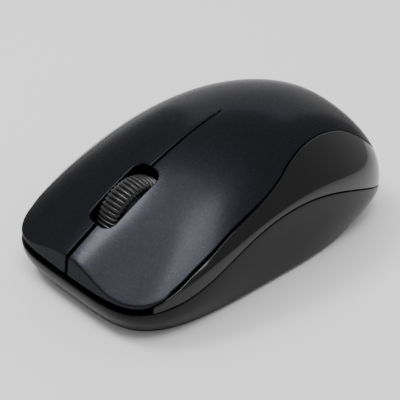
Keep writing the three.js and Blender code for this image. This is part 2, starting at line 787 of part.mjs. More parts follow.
function addCradle() {
  const { inner, plate, ear } = cradle;
  const bottom = pinZ - ear;
  const rearY = wheel.y + wheel.radius + cradle.behind;
  const bearing = wheel.axle + cradle.bearing;
  const bar = [tactTopZ, tactTopZ + cradle.bar];
  const outline = [
    [pinY - ear, bottom],
    [wheel.y + 6, bottom],
    [rearY, tactTopZ],
    [rearY, tactTopZ + cradle.bar],
    [wheel.y + bearing, wheel.z + bearing],
    [wheel.y - bearing, wheel.z + bearing],
    [pinY - ear, pinZ + ear],
  ];
  const pieces = [box([-inner - plate / 2, inner + plate / 2], [rearY - plate, rearY], bar)];
  bothSides((_, side) => {
    const [x0, x1] = side > 0 ? [inner, inner + plate] : [-inner - plate, -inner];
    pieces.push(standingPlate(outline, x0, x1));
  });
  const armEnd = tactSwitch.x + tactSwitch.tip;
  const armY = [tactSwitch.y - cradle.arm / 2, tactSwitch.y + cradle.arm / 2];
  pieces.push(box([inner + plate / 2, armEnd], armY, bar));
  const holes = [
    crossBar(wheel.y, wheel.z, wheel.axle + fit.running, -halfWidth, halfWidth),
    crossBar(pinY, pinZ, cradle.pin + fit.running, -halfWidth, halfWidth),
    crossBar(wheel.y, wheel.z - wheel.windowRing, encoder.sight, -halfWidth, halfWidth),
  ];
  add('wheel_cradle', cut(join(...pieces), ...holes), mattBlack);
  const pinHalf = inner + plate + fit.touch + cradle.post;
  add('cradle_pin', crossBar(pinY, pinZ, cradle.pin, -pinHalf, pinHalf), steel);
  const upward = new THREE.Quaternion();
  const springTop = bottom - 1;
  const springX = -(inner + plate / 2);
  const springAt = new THREE.Vector3(springX, wheel.y + 3, floorTop + fit.touch + spring.wire);
  const coil = helix(springAt, spring.cradleRadius, spring.cradleRadius, springTop - springAt.z, 4, upward);
  add('cradle_spring', wire(coil, spring.wire, 36, 5), steel);
  const leafX = -(inner + plate + fit.touch + 1);
  const leafZ = wheel.z - wheel.detentRadius - spring.wire - fit.touch;
  const leaf = [
    new THREE.Vector3(leafX, wheel.y + 7.5, boardTop + 1),
    new THREE.Vector3(leafX, wheel.y + 6.5, leafZ - 0.6),
    new THREE.Vector3(leafX, wheel.y + 3, leafZ - 0.3),
    new THREE.Vector3(leafX, wheel.y, leafZ),
    new THREE.Vector3(leafX, wheel.y - 3, leafZ - 0.8),
  ];
  add('detent_spring', wire(leaf, spring.wire, 14, 5), steel);
}

const tactTopZ = boardTop + tactSwitch.high + tactSwitch.tip + fit.touch;

function addBoard() {
  const { halfWidth: half, frontY, backY, wheelHalf } = board;
  const wheelBackY = wheel.y + Math.sqrt(wheel.radius ** 2 - (wheel.z - boardTop) ** 2) + 0.6;
  const outline = [
    [-half, frontY],
    [-wheelHalf, frontY],
    [-wheelHalf, wheelBackY],
    [wheelHalf, wheelBackY],
    [wheelHalf, frontY],
    [half, frontY],
    [half, backY],
    [-half, backY],
  ];
  const shape = new THREE.Shape(outline.map(([x, y]) => new THREE.Vector2(x, y)));
  const hole = new THREE.Path();
  hole.absarc(0, sensor.y, sensor.aperture - 0.6, 0, 2 * Math.PI, true);
  shape.holes.push(hole);
  const plate = new THREE.ExtrudeGeometry(shape, { depth: board.thickness, bevelEnabled: false });
  add('main_board', plate.translate(0, 0, board.z), glassLaminate);
  const on = boardTop + fit.touch;
  add('radio_chip', pad(chip.x, chip.y, chip.wide, chip.long, 0.1, on, on + chip.high), mattBlack);
  const canCorner = crystal.long / 2 - 0.1;
  const can = pad(crystal.x, crystal.y, crystal.wide, crystal.long, canCorner, on, on + crystal.high);
  add('crystal_can', can, tinPlate);
  add('capacitor', column(capacitor.x, capacitor.y, capacitor.radius, on, on + capacitor.high), mattBlack);
}

function addSwitch(name, x, y, size, plungerY) {
  const top = boardTop + size.high;
  const xs = [x - size.wide / 2, x + size.wide / 2];
  const ys = [y - size.long / 2, y + size.long / 2];
  const well = column(x, plungerY, size.plunger + fit.touch, top - plungerWell, top + 1);
  add(`${name}_body`, cut(box(xs, ys, [boardTop + fit.touch, top]), well), mattBlack);
  add(`${name}_plunger`, column(x, plungerY, size.plunger, top - size.sunk, top + size.tip), whiteAcetal);
}

function addSwitches() {
  bothSides((side, sign) => {
    addSwitch(`${side}_switch`, sign * microSwitch.x, microSwitch.y, microSwitch, microSwitch.plungerY);
  });
  addSwitch('middle_switch', tactSwitch.x, tactSwitch.y, tactSwitch, tactSwitch.y);
}

function addEncoder() {
  const from = board.wheelHalf + fit.touch;
  const to = from + encoder.thickness;
  const span = [wheel.y - encoder.wide / 2, wheel.y + encoder.wide / 2];
  const height = [boardTop + fit.touch, wheel.z - wheel.windowRing + encoder.aboveRing];
  add('ir_emitter', box([from, to], span, height), clearPlastic);
  add('ir_detector', box([-to, -from], span, height), mattBlack);
}

function addSensor() {
  const { y, wide, long, high, aperture } = sensor;
  const on = boardTop + fit.touch;
  add('sensor_chip', box([-wide / 2, wide / 2], [y - long / 2, y + long / 2], [on, on + high]), mattBlack);
  const lensTop = board.z - fit.touch;
  const lensFoot = [floorTop + fit.touch, floorTop + lens.top];
  const lensBody = pad(0, y, lens.wide, lens.long, lens.corner, ...lensFoot);
  const barrel = column(0, y, aperture, floorTop + 1, lensTop, smooth.hub);
  add('sensor_lens', join(lensBody, barrel), clearPlastic);
  const ledBottom = board.z - led.high;
  const around = (grow, bottom, top) =>
    box(
      [led.x - led.wide / 2 - grow, led.x + led.wide / 2 + grow],
      [y + led.behind - led.long / 2 - grow, y + led.behind + led.long / 2 + grow],
      [bottom, top],
    );
  add('sensor_led', around(0, ledBottom, lensTop), redPlastic);
  const pocket = around(fit.touch, ledBottom - fit.touch, lensTop + 1);
  const clipGrow = fit.touch + led.clipWall;
  add('led_clip', cut(around(clipGrow, ledBottom - clipGrow, lensTop), pocket), mattBlack);
}

function addPower() {
  const { x, y, knobLong, knobWide, travel, sideWall, endWall, top, recess } = power;
  const seat = board.z - fit.touch;
  const bodyBottom = floorTop + 2;
  const [halfLong, halfWide] = [knobLong / 2, knobWide / 2];
  const xs = [x - halfLong - sideWall, x + halfLong + travel + sideWall];
  const housing = box(xs, [y - halfWide - endWall, y + halfWide + endWall], [bodyBottom, seat]);
  add('power_switch_body', cut(housing, knobWay(bodyBottom - 1, seat - top)), tinPlate);
  const knobZ = [base.bottomZ + recess, seat - top - fit.touch];
  const knob = box([x - halfLong, x + halfLong], [y - halfWide, y + halfWide], knobZ);
  add('power_switch_slider', knob, whiteAcetal);
}

function addCell() {
  const { diameter, length, nub, nubHeight, frontY } = cell;
  const profile = [
    [0, 0],
    [nub, 0],
    [nub, nubHeight],
    [diameter / 2 - 0.6, nubHeight],
    [diameter / 2, nubHeight + 0.6],
    [diameter / 2, length - 0.5],
    [diameter / 2 - 0.5, length],
    [0, length],
  ].map(([radius, along]) => new THREE.Vector2(radius, along));
  const geometry = mergeVertices(stripped(new THREE.LatheGeometry(profile, 28)));
  add('aa_cell', geometry.translate(0, frontY, cellZ), cellJacket);
  const frontPlate = [bayFrontY + fit.touch, bayFrontY + fit.touch + bay.contact];
  const plateZ = [cellZ - contact.high / 2, cellZ + contact.high / 2];
  const frontX = [-contact.frontWide / 2, contact.frontWide / 2];
  add('contact_positive', box(frontX, frontPlate, plateZ), tinPlate);
  const backPlate = [bayBackY - fit.touch - bay.contact, bayBackY - fit.touch];
  add('contact_negative', box([-contact.backWide / 2, contact.backWide / 2], backPlate, plateZ), tinPlate);
  const rearward = new THREE.Quaternion().setFromAxisAngle(new THREE.Vector3(1, 0, 0), Math.PI / 2);
  const springAt = new THREE.Vector3(0, backPlate[0] - fit.touch - spring.wire, cellZ);
  const springLength = springAt.y - (frontY + length) - fit.touch - spring.wire;
  const coil = helix(springAt, spring.cellRadius, spring.cellTip, springLength, 3, rearward);
  add('contact_spring', wire(coil, spring.wire, 30, 5), steel);
}

function addLeads() {
  const leadX = bayHalf + bay.wall + 0.9;
  const overWall = bay.wallTop + lead.height;
  const positive = [
    new THREE.Vector3(leadX - 0.4, bayFrontY + 1.6, overWall),
    new THREE.Vector3(leadX + 0.8, bayFrontY - 1, overWall + 0.3),
    new THREE.Vector3(lead.positivePad, bayFrontY - 2.6, boardTop + 2.2),
    new THREE.Vector3(lead.positivePad, bayFrontY - 3, boardTop + 0.7),
  ];
  add('lead_positive', wire(positive, lead.radius, 10, 6), redPlastic);
  const negative = [
    new THREE.Vector3(-leadX, bayBackY - 2, overWall),
    new THREE.Vector3(-leadX, (bayBackY + bayFrontY) / 2, overWall),
    new THREE.Vector3(-leadX, bayFrontY - 1, overWall),
    new THREE.Vector3(-lead.negativePad, bayFrontY - 3.2, boardTop + 2.2),
    new THREE.Vector3(-lead.negativePad, bayFrontY - 3.6, boardTop + 0.7),
  ];
  add('lead_negative', wire(negative, lead.radius, 16, 6), mattBlack);
}

function addDoor() {
  const long = door.backY - door.frontY;
  const top = base.bottomZ + door.thickness;
  const leafY = (door.frontY + door.backY) / 2;
  const leaf = pad(0, leafY, 2 * door.halfWidth, long, door.corner, base.bottomZ, top);
  const grips = [];
  for (let i = 0; i < grip.count; i += 1) {
    const y = door.frontY + grip.start + i * grip.pitch;
    const gripZ = [base.bottomZ - 1, base.bottomZ + grip.depth];
    grips.push(box([-grip.wide / 2, grip.wide / 2], [y, y + grip.groove], gripZ));
  }
  add('battery_door', cut(leaf, ...grips), mattBlack);
}

function addReceiver() {
  const { y, thick, high, long, sheet, capThick, capHigh, capLong, tongueThick } = receiver;
  const side = -(bayHalf + fit.touch);
  const low = base.bottomZ + door.thickness + 2 * fit.touch;
  const shellZ = [low + (capHigh - high) / 2, low + (capHigh + high) / 2];
  const sleeve = cut(
    box([side - thick, side], [y, y + long], shellZ),
    box([side - thick + sheet, side - sheet], [y - 1, y + long - 1], [shellZ[0] + sheet, shellZ[1] - sheet]),
  );
  add('receiver_shell', sleeve, tinPlate);
  const capY = y + long + fit.touch;
  add('receiver_cap', box([side - capThick, side], [capY, capY + capLong], [low, low + capHigh]), mattBlack);
  const tongueX = side - thick + sheet + fit.touch;
  const tongueZ = [shellZ[0] + sheet + fit.touch, shellZ[1] - sheet - fit.touch];
  const tongueBox = box([tongueX, tongueX + tongueThick], [y + sheet, y + long - 1 - fit.touch], tongueZ);
  add('receiver_tongue', tongueBox, whiteAcetal);
}

function addFeetAndScrews() {
  for (const [name, piece] of Object.entries(footPads(0, 0, foot.thickness))) {
    add(name, piece, mattBlack);
  }
  for (const [name, [x, y]] of Object.entries(screwPlaces())) {
    const headTop = base.bottomZ + screw.sink - fit.touch;
    const head = column(x, y, screw.head, headTop - screw.headHeight, headTop);
    const shank = column(x, y, screw.shank, headTop - 0.2, headTop + screw.length - 1);
    add(name, join(head, shank), steel);
  }
}

add('base_shell', baseShell(), glossBlack);
add('middle_shell', middleShell(), glossBlack);
addCovers();
addWheel();
addCradle();
addBoard();
addSwitches();
addEncoder();
addSensor();
addPower();
addCell();
addLeads();
addDoor();
addReceiver();
addFeetAndScrews();

export default group;
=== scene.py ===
import json
import math

import bpy
import numpy as np
from mathutils import Matrix, Vector


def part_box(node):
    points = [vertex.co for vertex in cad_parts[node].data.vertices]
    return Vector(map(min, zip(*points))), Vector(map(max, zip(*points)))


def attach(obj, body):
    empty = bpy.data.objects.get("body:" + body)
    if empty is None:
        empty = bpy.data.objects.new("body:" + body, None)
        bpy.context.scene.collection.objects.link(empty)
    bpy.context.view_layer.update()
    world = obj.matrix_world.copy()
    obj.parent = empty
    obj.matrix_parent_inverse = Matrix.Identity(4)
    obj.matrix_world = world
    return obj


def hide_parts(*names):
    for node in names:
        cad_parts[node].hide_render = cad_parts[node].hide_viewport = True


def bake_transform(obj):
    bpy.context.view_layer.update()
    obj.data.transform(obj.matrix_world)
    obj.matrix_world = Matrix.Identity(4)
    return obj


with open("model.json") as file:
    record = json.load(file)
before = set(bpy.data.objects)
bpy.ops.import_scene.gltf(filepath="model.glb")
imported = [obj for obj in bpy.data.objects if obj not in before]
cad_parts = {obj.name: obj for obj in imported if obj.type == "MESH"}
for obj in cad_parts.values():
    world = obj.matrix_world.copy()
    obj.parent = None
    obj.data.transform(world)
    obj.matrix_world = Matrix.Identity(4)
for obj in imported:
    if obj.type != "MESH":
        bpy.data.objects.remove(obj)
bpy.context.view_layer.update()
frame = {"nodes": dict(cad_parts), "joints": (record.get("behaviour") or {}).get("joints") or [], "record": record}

mm = 0.001
joints = {joint["name"]: joint for joint in frame["joints"]}
slotOfNode = {part["node"]: part["material_slot"] for part in frame["record"]["subparts"]}


def lerp(start, end, share):
    return start + (end - start) * share


def ease(start, end, value):
    share = np.clip((value - start) / (end - start), 0, 1)
    return share * share * (3 - 2 * share)


def placeObject(name, data):
    obj = bpy.data.objects.new(name, data)
    bpy.context.scene.collection.objects.link(obj)
    return obj


def cadSize(node):
    low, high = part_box(node)
    return np.array(low) / mm, np.array(high) / mm


# ---- camera ----

camera = {
    "azimuth": 44.214,
    "elevation": 33.614,
    "roll": 3.129,
    "distance": 402.5,
    "aimHeight": 15,
    "lens": 135.89,
    "shiftX": -0.0269,
    "shiftY": -0.0287,
    "sensorWidth": 36,
    "clipStart": 0.01,
}


def buildCamera():
    turn = math.radians(camera["azimuth"])
    lift = math.radians(camera["elevation"])
    roll = math.radians(camera["roll"])
    back = Vector((math.sin(turn) * math.cos(lift), -math.cos(turn) * math.cos(lift), math.sin(lift)))
    right = Vector((math.cos(turn), math.sin(turn), 0))
    up = back.cross(right)
    rolledRight = right * math.cos(roll) + up * math.sin(roll)
    rolledUp = up * math.cos(roll) - right * math.sin(roll)
    place = Vector((0, 0, camera["aimHeight"])) + back * camera["distance"]
    data = bpy.data.cameras.new("camera")
    data.lens = camera["lens"]
    data.sensor_width = camera["sensorWidth"]
    data.shift_x = camera["shiftX"]
    data.shift_y = camera["shiftY"]
    data.clip_start = camera["clipStart"]
    obj = placeObject("camera", data)
    obj.matrix_world = Matrix(
        (
            (rolledRight.x, rolledUp.x, back.x, place.x * mm),
            (rolledRight.y, rolledUp.y, back.y, place.y * mm),
            (rolledRight.z, rolledUp.z, back.z, place.z * mm),
            (0, 0, 0, 1),
        )
    )
    bpy.context.scene.camera = obj


# ---- stage and light ----

studio = {
    "floorColour": "#F4F4F3",
    "skyColour": "#FFFFFF",
    "skyStrength": 0.6,
    "floorHalf": 1.6,
    "aimPoint": (0, 0, 0.02),
}

# Each soft light: where it stands in metres, its width and length, and its power. All aim at the body.
softLights = {
    "overheadLeft": {"place": (0.27, -0.15, 0.85), "size": (0.32, 0.32), "power": 2.6},
    "overheadMiddle": {"place": (0.03, -0.22, 0.85), "size": (0.5, 0.5), "power": 2.2},
    "overheadRight": {"place": (-0.38, -0.28, 0.85), "size": (0.26, 0.26), "power": 4.5},
    "behind": {"place": (-0.55, 0.72, 0.4), "size": (0.9, 0.9), "power": 3.4},
}


def buildStage():
    half = studio["floorHalf"]
    mesh = bpy.data.meshes.new("floor")
    corners = [(-half, -half, 0), (half, -half, 0), (half, half, 0), (-half, half, 0)]
    mesh.from_pydata(corners, [], [(0, 1, 2, 3)])
    floor = placeObject("floor", mesh)
    dress(floor, paperSweep())
    world = bpy.data.worlds.new("sky")
    world.use_nodes = True
    background = world.node_tree.nodes["Background"]
    background.inputs["Color"].default_value = linear(studio["skyColour"])
    background.inputs["Strength"].default_value = studio["skyStrength"]
    bpy.context.scene.world = world


def buildLights():
    for name, light in softLights.items():
        data = bpy.data.lights.new(name, "AREA")
        data.shape = "RECTANGLE"
        data.size, data.size_y = light["size"]
        data.energy = light["power"]
        obj = placeObject(name, data)
        place = Vector(light["place"])
        obj.location = place
        aim = Vector(studio["aimPoint"]) - place
        obj.rotation_euler = aim.to_track_quat("-Z", "Y").to_euler()


# ---- materials ----


def linear(hexColour):
    parts = [int(hexColour[i:i + 2], 16) / 255 for i in (1, 3, 5)]
    return tuple(c / 12.92 if c <= 0.04045 else ((c + 0.055) / 1.055) ** 2.4 for c in parts) + (1.0,)


def addNode(tree, kind, inputs=None, **settings):
    # Adds one node: settings are its own properties, inputs are values or the sockets to link from.
    node = tree.nodes.new(kind)
    for name, value in settings.items():
        setattr(node, name, value)
    for name, value in (inputs or {}).items():
        if isinstance(value, bpy.types.NodeSocket):
            tree.links.new(value, node.inputs[name])
        else:
            node.inputs[name].default_value = value
    return node


def newMaterial(name, **sockets):
    material = bpy.data.materials.new(name)
    material.use_nodes = True
    shader = material.node_tree.nodes["Principled BSDF"]
    for socket, value in sockets.items():
        shader.inputs[socket.replace("_", " ")].default_value = value
    return material, material.node_tree, shader


def addBump(tree, shader, height, strength, depth):
    # A height from 0 to 1 lifts the surface by up to the depth in mm, scaled by the strength.
    bump = addNode(tree, "ShaderNodeBump", {"Height": height, "Strength": strength, "Distance": depth * mm})
    tree.links.new(bump.outputs["Normal"], shader.inputs["Normal"])


def varyRoughness(tree, shader, factor, low, high):
    rough = addNode(tree, "ShaderNodeMapRange", {"Value": factor, "To Min": low, "To Max": high})
    tree.links.new(rough.outputs["Result"], shader.inputs["Roughness"])


def dress(obj, material, sharpAngle=None):
    # gives the object one material, and keeps edges sharper than the angle in degrees unsmoothed
    if sharpAngle:
        obj.data.set_sharp_from_angle(angle=math.radians(sharpAngle))
    obj.data.materials.clear()
    obj.data.materials.append(material)


def paperSweep():
    # Matt paper sweep: off-white, with hardly any shine.
    colour = linear(studio["floorColour"])
    return newMaterial("paperSweep", Base_Color=colour, Roughness=0.9, Specular_IOR_Level=0.2)[0]


lacquer = {
    "colour": "#1B1C21",
    "flakeColour": "#33353D",
    "edgeColour": "#98989C",
    "flakeSize": 0.16,
    "flakeFrom": 0.8,
    "flakeMix": 0.5,
    "flakeBump": 0.12,
    "flakeDepth": 0.02,
    "cloudScale": 900.0,
    "metallic": 0.8,
    "roughness": 0.28,
    "roughnessSpread": 0.03,
    "coatWeight": 0.1,
    "coatRoughness": 0.16,
}


def graphiteLacquer():
    # Automotive-style metallic lacquer on ABS: aluminium flakes in a dark grey base under a clear
    # coat. It gives a satin bloom that spreads under a sharper reflection. Real flakes are about
    # 0.05 mm across, and they are drawn larger so that the sparkle shows.
    material, tree, shader = newMaterial(
        "graphiteLacquer",
        Metallic=lacquer["metallic"],
        Specular_Tint=linear(lacquer["edgeColour"]),
        Coat_Weight=lacquer["coatWeight"],
        Coat_Roughness=lacquer["coatRoughness"],
        Coat_IOR=1.5,
    )
    cloud, where = addNoise(tree, lacquer["cloudScale"], 3.0)
    cells = {"Vector": where, "Scale": 1 / (lacquer["flakeSize"] * mm)}
    flakes = addNode(tree, "ShaderNodeTexVoronoi", cells)
    level = addNode(tree, "ShaderNodeSeparateColor", {"Color": flakes.outputs["Color"]})
    share = {"Value": level.outputs["Red"], "From Min": lacquer["flakeFrom"], "To Max": lacquer["flakeMix"]}
    bright = addNode(tree, "ShaderNodeMapRange", share)
    colour = mixColour(tree, bright.outputs["Result"], lacquer["colour"], lacquer["flakeColour"])
    tree.links.new(colour, shader.inputs["Base Color"])
    rough, spread = lacquer["roughness"], lacquer["roughnessSpread"]
    varyRoughness(tree, shader, cloud, rough - spread, rough + spread)
    addBump(tree, shader, level.outputs["Green"], lacquer["flakeBump"], lacquer["flakeDepth"])
    return material


def mixColour(tree, factor, first, second):
    mix = tree.nodes.new("ShaderNodeMix")
    mix.data_type = "RGBA"
    tree.links.new(factor, mix.inputs[0])
    mix.inputs[6].default_value = linear(first)
    mix.inputs[7].default_value = linear(second)
    return mix.outputs[2]


def addNoise(tree, scale, detail):
    # a noise over the piece's own coordinates, with its scale in waves per metre
    where = addNode(tree, "ShaderNodeTexCoord").outputs["Object"]
    inputs = {"Vector": where, "Scale": scale, "Detail": detail}
    return addNode(tree, "ShaderNodeTexNoise", inputs).outputs["Fac"], where


def mouldedAbs(name, colour, roughness, scale, detail, strength, depth, **sockets):
    # Injection moulded ABS in one colour, with a noise that lifts its surface.
    sockets = {"Base_Color": linear(colour), "Roughness": roughness, "IOR": 1.54, **sockets}
    material, tree, shader = newMaterial(name, **sockets)
    addBump(tree, shader, addNoise(tree, scale, detail)[0], strength, depth)
    return material


def polishedAbs():
    # From a polished tool: piano black, with the faint waviness of the mould.
    return mouldedAbs("polishedAbs", "#08080A", 0.07, 45.0, 1.0, 0.03, 0.2, Specular_IOR_Level=0.3)


def satinAbs():
    # From a stoned tool: black with a dull, even sheen and no clear reflection.
    grain = 1 / (0.25 * mm)
    return mouldedAbs("satinAbs", "#0C0C0D", 0.3, grain, 2.0, 0.1, 0.01, Specular_IOR_Level=0.12)


def texturedAbs():
    # From a spark-eroded tool: a fine even grain of about 0.15 mm that kills the shine.
    return mouldedAbs("texturedAbs", "#141416", 0.48, 1 / (0.15 * mm), 2.0, 0.35, 0.03)


def mouldedRubber():
    # Moulded TPE rubber: a soft satin black, faintly mottled in shade and sheen.
    material, tree, shader = newMaterial("mouldedRubber", IOR=1.5)
    dust = addNoise(tree, 1400.0, 4.0)[0]
    tree.links.new(mixColour(tree, dust, "#060607", "#111113"), shader.inputs["Base Color"])
    varyRoughness(tree, shader, dust, low=0.2, high=0.36)
    addBump(tree, shader, dust, strength=0.2, depth=0.03)
    return material


def speckled(name, colours, size, roughness, bump, **sockets):
    # One moulded or rolled stock: a fine noise of the given size in mm shifts its colour between
    # two shades, its roughness between two values, and lifts its surface by the bump in mm. With no
    # colours, the caller links its own.
    material, tree, shader = newMaterial(name, **sockets)
    noise, where = addNoise(tree, 1 / (size * mm), 3.0)
    if colours:
        tree.links.new(mixColour(tree, noise, *colours), shader.inputs["Base Color"])
    varyRoughness(tree, shader, noise, *roughness)
    addBump(tree, shader, noise, 0.5, bump)
    return material, tree, shader, where


def greyAcetal():
    # Moulded POM: a mid grey with a waxy, slightly blotchy sheen.
    return speckled("greyAcetal", ("#55575B", "#66686C"), 0.8, (0.3, 0.42), 0.01, IOR=1.48)[0]


def whiteAcetal():
    # Moulded POM, unpigmented: milky off-white, faintly see-through at thin edges.
    sockets = {"IOR": 1.48, "Subsurface_Weight": 0.15, "Subsurface_Scale": 0.001}
    return speckled("whiteAcetal", ("#DEDCD4", "#E8E6DF"), 1.2, (0.28, 0.38), 0.008, **sockets)[0]


def drawnSteel():
    # Zinc plated steel: pale grey metal with a soft cloudy finish.
    return speckled("drawnSteel", ("#A9ABAE", "#C2C3C4"), 0.35, (0.22, 0.38), 0.004, Metallic=1.0)[0]


def tinPlate():
    # Rolled and tinned sheet: warm bright grey, with smeared patches of duller tin.
    return speckled("tinPlate", ("#B4B0A6", "#D2CFC6"), 1.6, (0.2, 0.42), 0.006, Metallic=1.0)[0]


def clearPolycarbonate():
    # Moulded optical polycarbonate: clear, with polished faces and a trace of flow haze.
    sockets = {"IOR": 1.585, "Transmission_Weight": 1.0}
    return speckled("clearPolycarbonate", ("#EEF3F4", "#F6F9F9"), 2.5, (0.03, 0.07), 0.002, **sockets)[0]


def redPvc():
    # Extruded red PVC and tinted epoxy: a saturated red under a soft plasticky gloss.
    return speckled("redPvc", ("#8E1014", "#A8181B"), 0.6, (0.28, 0.4), 0.01, IOR=1.54)[0]


def slidingPtfe():
    # Skived PTFE tape: dark grey, greasy and matt, with fine scuffs from the desk.
    return speckled("slidingPtfe", ("#1F2022", "#2B2C2E"), 0.25, (0.4, 0.6), 0.012, IOR=1.38)[0]


board = {"trackPitch": 2.4, "trackHalf": 0.05, "trackEdge": 0.09, "randomness": 0.35}


def solderMask():
    # Etched board under green lacquer: darker green over bare laminate, lighter along the copper tracks.
    material, tree, shader, where = speckled("solderMask", None, 0.9, (0.22, 0.34), 0.004, IOR=1.5)
    tracks = {"Vector": where, "Scale": 1 / (board["trackPitch"] * mm), "Randomness": board["randomness"]}
    cells = addNode(tree, "ShaderNodeTexVoronoi", tracks, feature="DISTANCE_TO_EDGE", distance="MANHATTAN")
    edges = {"From Min": board["trackHalf"], "From Max": board["trackEdge"], "To Min": 1.0, "To Max": 0.0}
    copper = addNode(tree, "ShaderNodeMapRange", {"Value": cells.outputs["Distance"], **edges})
    colour = mixColour(tree, copper.outputs["Result"], "#144A2B", "#2F7A4A")
    tree.links.new(colour, shader.inputs["Base Color"])
    return material


jacket = {"bandShare": 0.3, "bandBlur": 0.1}


def shrunkJacket():
    # Printed and shrunk cell sleeve: black body with a copper coloured band at the positive end,
    # and a glossy film over both.
    material, tree, shader, where = speckled("shrunkJacket", None, 1.0, (0.16, 0.26), 0.01, IOR=1.5)
    low, high = cadSize("aa_cell")
    along = addNode(tree, "ShaderNodeSeparateXYZ", {"Vector": where}).outputs["Y"]
    edgeY = lerp(low[1], high[1], jacket["bandShare"]) * mm
    blur = jacket["bandBlur"] * mm
    edges = {"From Min": edgeY - blur, "From Max": edgeY + blur, "To Min": 1.0, "To Max": 0.0}
    band = addNode(tree, "ShaderNodeMapRange", {"Value": along, **edges}).outputs["Result"]
    colour = mixColour(tree, band, "#131315", "#A5642F")
    tree.links.new(colour, shader.inputs["Base Color"])
    tree.links.new(band, shader.inputs["Metallic"])
    return material


# ---- the dome's surface, in millimetres ----

shellLow, shellHigh = cadSize("base_shell")
dome = {
    "halfWidth": (shellHigh[0] - shellLow[0]) / 2,
    "halfLength": (shellHigh[1] - shellLow[1]) / 2,
    "height": 39.2,
    "widestY": 1.3,
    "noseSquareness": 4.64,
    "tailSquareness": 3.6,
    "beltHeights": [9.1, 12.9, 22.3, 23.8, 17.1, 7.0],
    "crownShares": [0.407, 0.7, 0.91, 1.0, 0.91, 0.67],
    "shoulderDrop": 12.7,
    "tailDrop": 3.1,
    "squareness": 1.9,
    "spineRound": 0.3,
    "wallRise": 36.1,
    "noseRise": 7.9,
    "noseLip": 0.44,
    "tailLip": 3.0,
    "grooveDepth": 0.95,
    "grooveX": 14,
    "grooveHalfWidth": 7,
    "grooveFrontY": -46,
    "grooveBackY": -16,
}


def evenSpline(values):
    # Natural cubic spline through values at even steps. The bends at the inner points solve
    # bend before + 4 x bend + bend after = 6 x the turn of the values there.
    values = np.array(values, float)
    last = len(values) - 1
    system = np.eye(last + 1)
    load = np.zeros(last + 1)
    for i in range(1, last):
        system[i, i - 1:i + 2] = (1, 4, 1)
        load[i] = 6 * (values[i - 1] - 2 * values[i] + values[i + 1])
    bend = np.linalg.solve(system, load)

    def evaluate(s):
        i = np.clip(np.floor(s).astype(int), 0, last - 1)
        b = s - i
        a = 1 - b
        curve = (a ** 3 - a) * bend[i] + (b ** 3 - b) * bend[i + 1]
        return a * values[i] + b * values[i + 1] + curve / 6

    return evaluate


beltSpline = evenSpline(dome["beltHeights"])
crownSpline = evenSpline(dome["crownShares"])


def station(y):
    return (y / dome["halfLength"] + 1) / 2 * (len(dome["beltHeights"]) - 1)


def ovalRadius(angle, half, nose, tail, noseSquareness, tailSquareness):
    # Squared oval: (|cos| / half width)^n + (|sin| / reach)^n = radius^-n, with its own reach and n
    # towards the nose and towards the tail.
    towardsNose = np.sin(angle) < 0
    n = np.where(towardsNose, noseSquareness, tailSquareness)
    reach = np.where(towardsNose, nose + dome["widestY"], tail - dome["widestY"])
    across = np.abs(np.cos(angle)) / half
    along = np.abs(np.sin(angle)) / reach
    return (across ** n + along ** n) ** (-1 / n)


def beltRadius(angle):
    reach = dome["halfLength"]
    return ovalRadius(angle, dome["halfWidth"], reach, reach, dome["noseSquareness"], dome["tailSquareness"])


def fingerGroove(x, y):
    across = np.exp(-(((np.abs(x) - dome["grooveX"]) / dome["grooveHalfWidth"]) ** 2))
    return dome["grooveDepth"] * across * (1 - ease(dome["grooveFrontY"], dome["grooveBackY"], y))


def domeAt(chart, inset=0.0):
    # A chart point's angle is its plan angle, and its distance from the centre runs from 0 at the
    # crown to 1 on the belt: plan radius = belt radius x sine of 90 degrees x distance. The height is
    # the soft minimum of a roof, which falls away to the sides, and a wall, which climbs inwards.
    far = np.hypot(chart[..., 0], chart[..., 1])
    angle = np.arctan2(chart[..., 1], chart[..., 0])
    share = np.sin(np.pi / 2 * far)
    rise = np.sqrt(2) * np.sin(np.pi / 4 * (1 - far)) * np.sqrt(1 + share + share ** 2)
    radius = share * (beltRadius(angle) - inset)
    x = radius * np.cos(angle)
    y = dome["widestY"] + radius * np.sin(angle)
    along = y / dome["halfLength"]
    sideways = (x ** 2 + dome["spineRound"] ** 2) / dome["halfWidth"] ** 2
    fall = (dome["shoulderDrop"] + dome["tailDrop"] * along) * sideways ** (dome["squareness"] / 2)
    roof = dome["height"] * crownSpline(station(y)) - inset - fall - fingerGroove(x, y)
    wall = beltSpline(station(y)) + (dome["wallRise"] - dome["noseRise"] * along) * rise
    soft = lerp(dome["noseLip"], dome["tailLip"], np.clip((along + 1) / 2, 0, 1)) + inset / 2
    z = (roof + wall) / 2 - np.hypot((roof - wall) / 2, soft)
    return np.stack([x, y, z], -1)


def domeSlopes(chart, inset=0.0):
    step = 2e-4
    overX = (domeAt(chart + (step, 0), inset) - domeAt(chart - (step, 0), inset)) / (2 * step)
    overY = (domeAt(chart + (0, step), inset) - domeAt(chart - (0, step), inset)) / (2 * step)
    return overX, overY


def unit(vectors):
    return vectors / np.maximum(np.linalg.norm(vectors, axis=-1, keepdims=True), 1e-12)


def domeNormal(chart):
    overX, overY = domeSlopes(chart)
    return unit(np.cross(overX, overY))


def polarChart(angle, rise):
    share = (1 - rise ** 2) ** (1 / 3)
    far = np.arcsin(np.clip(share, 0, 1)) * 2 / np.pi
    return np.stack([far * np.cos(angle), far * np.sin(angle)], -1)


def planChart(x, y):
    angle = np.arctan2(y - dome["widestY"], x)
    share = np.hypot(x, y - dome["widestY"]) / beltRadius(angle)
    far = np.arcsin(np.clip(share, 0, 1)) * 2 / np.pi
    return np.stack([far * np.cos(angle), far * np.sin(angle)], -1)


# ---- meshes from grids ----


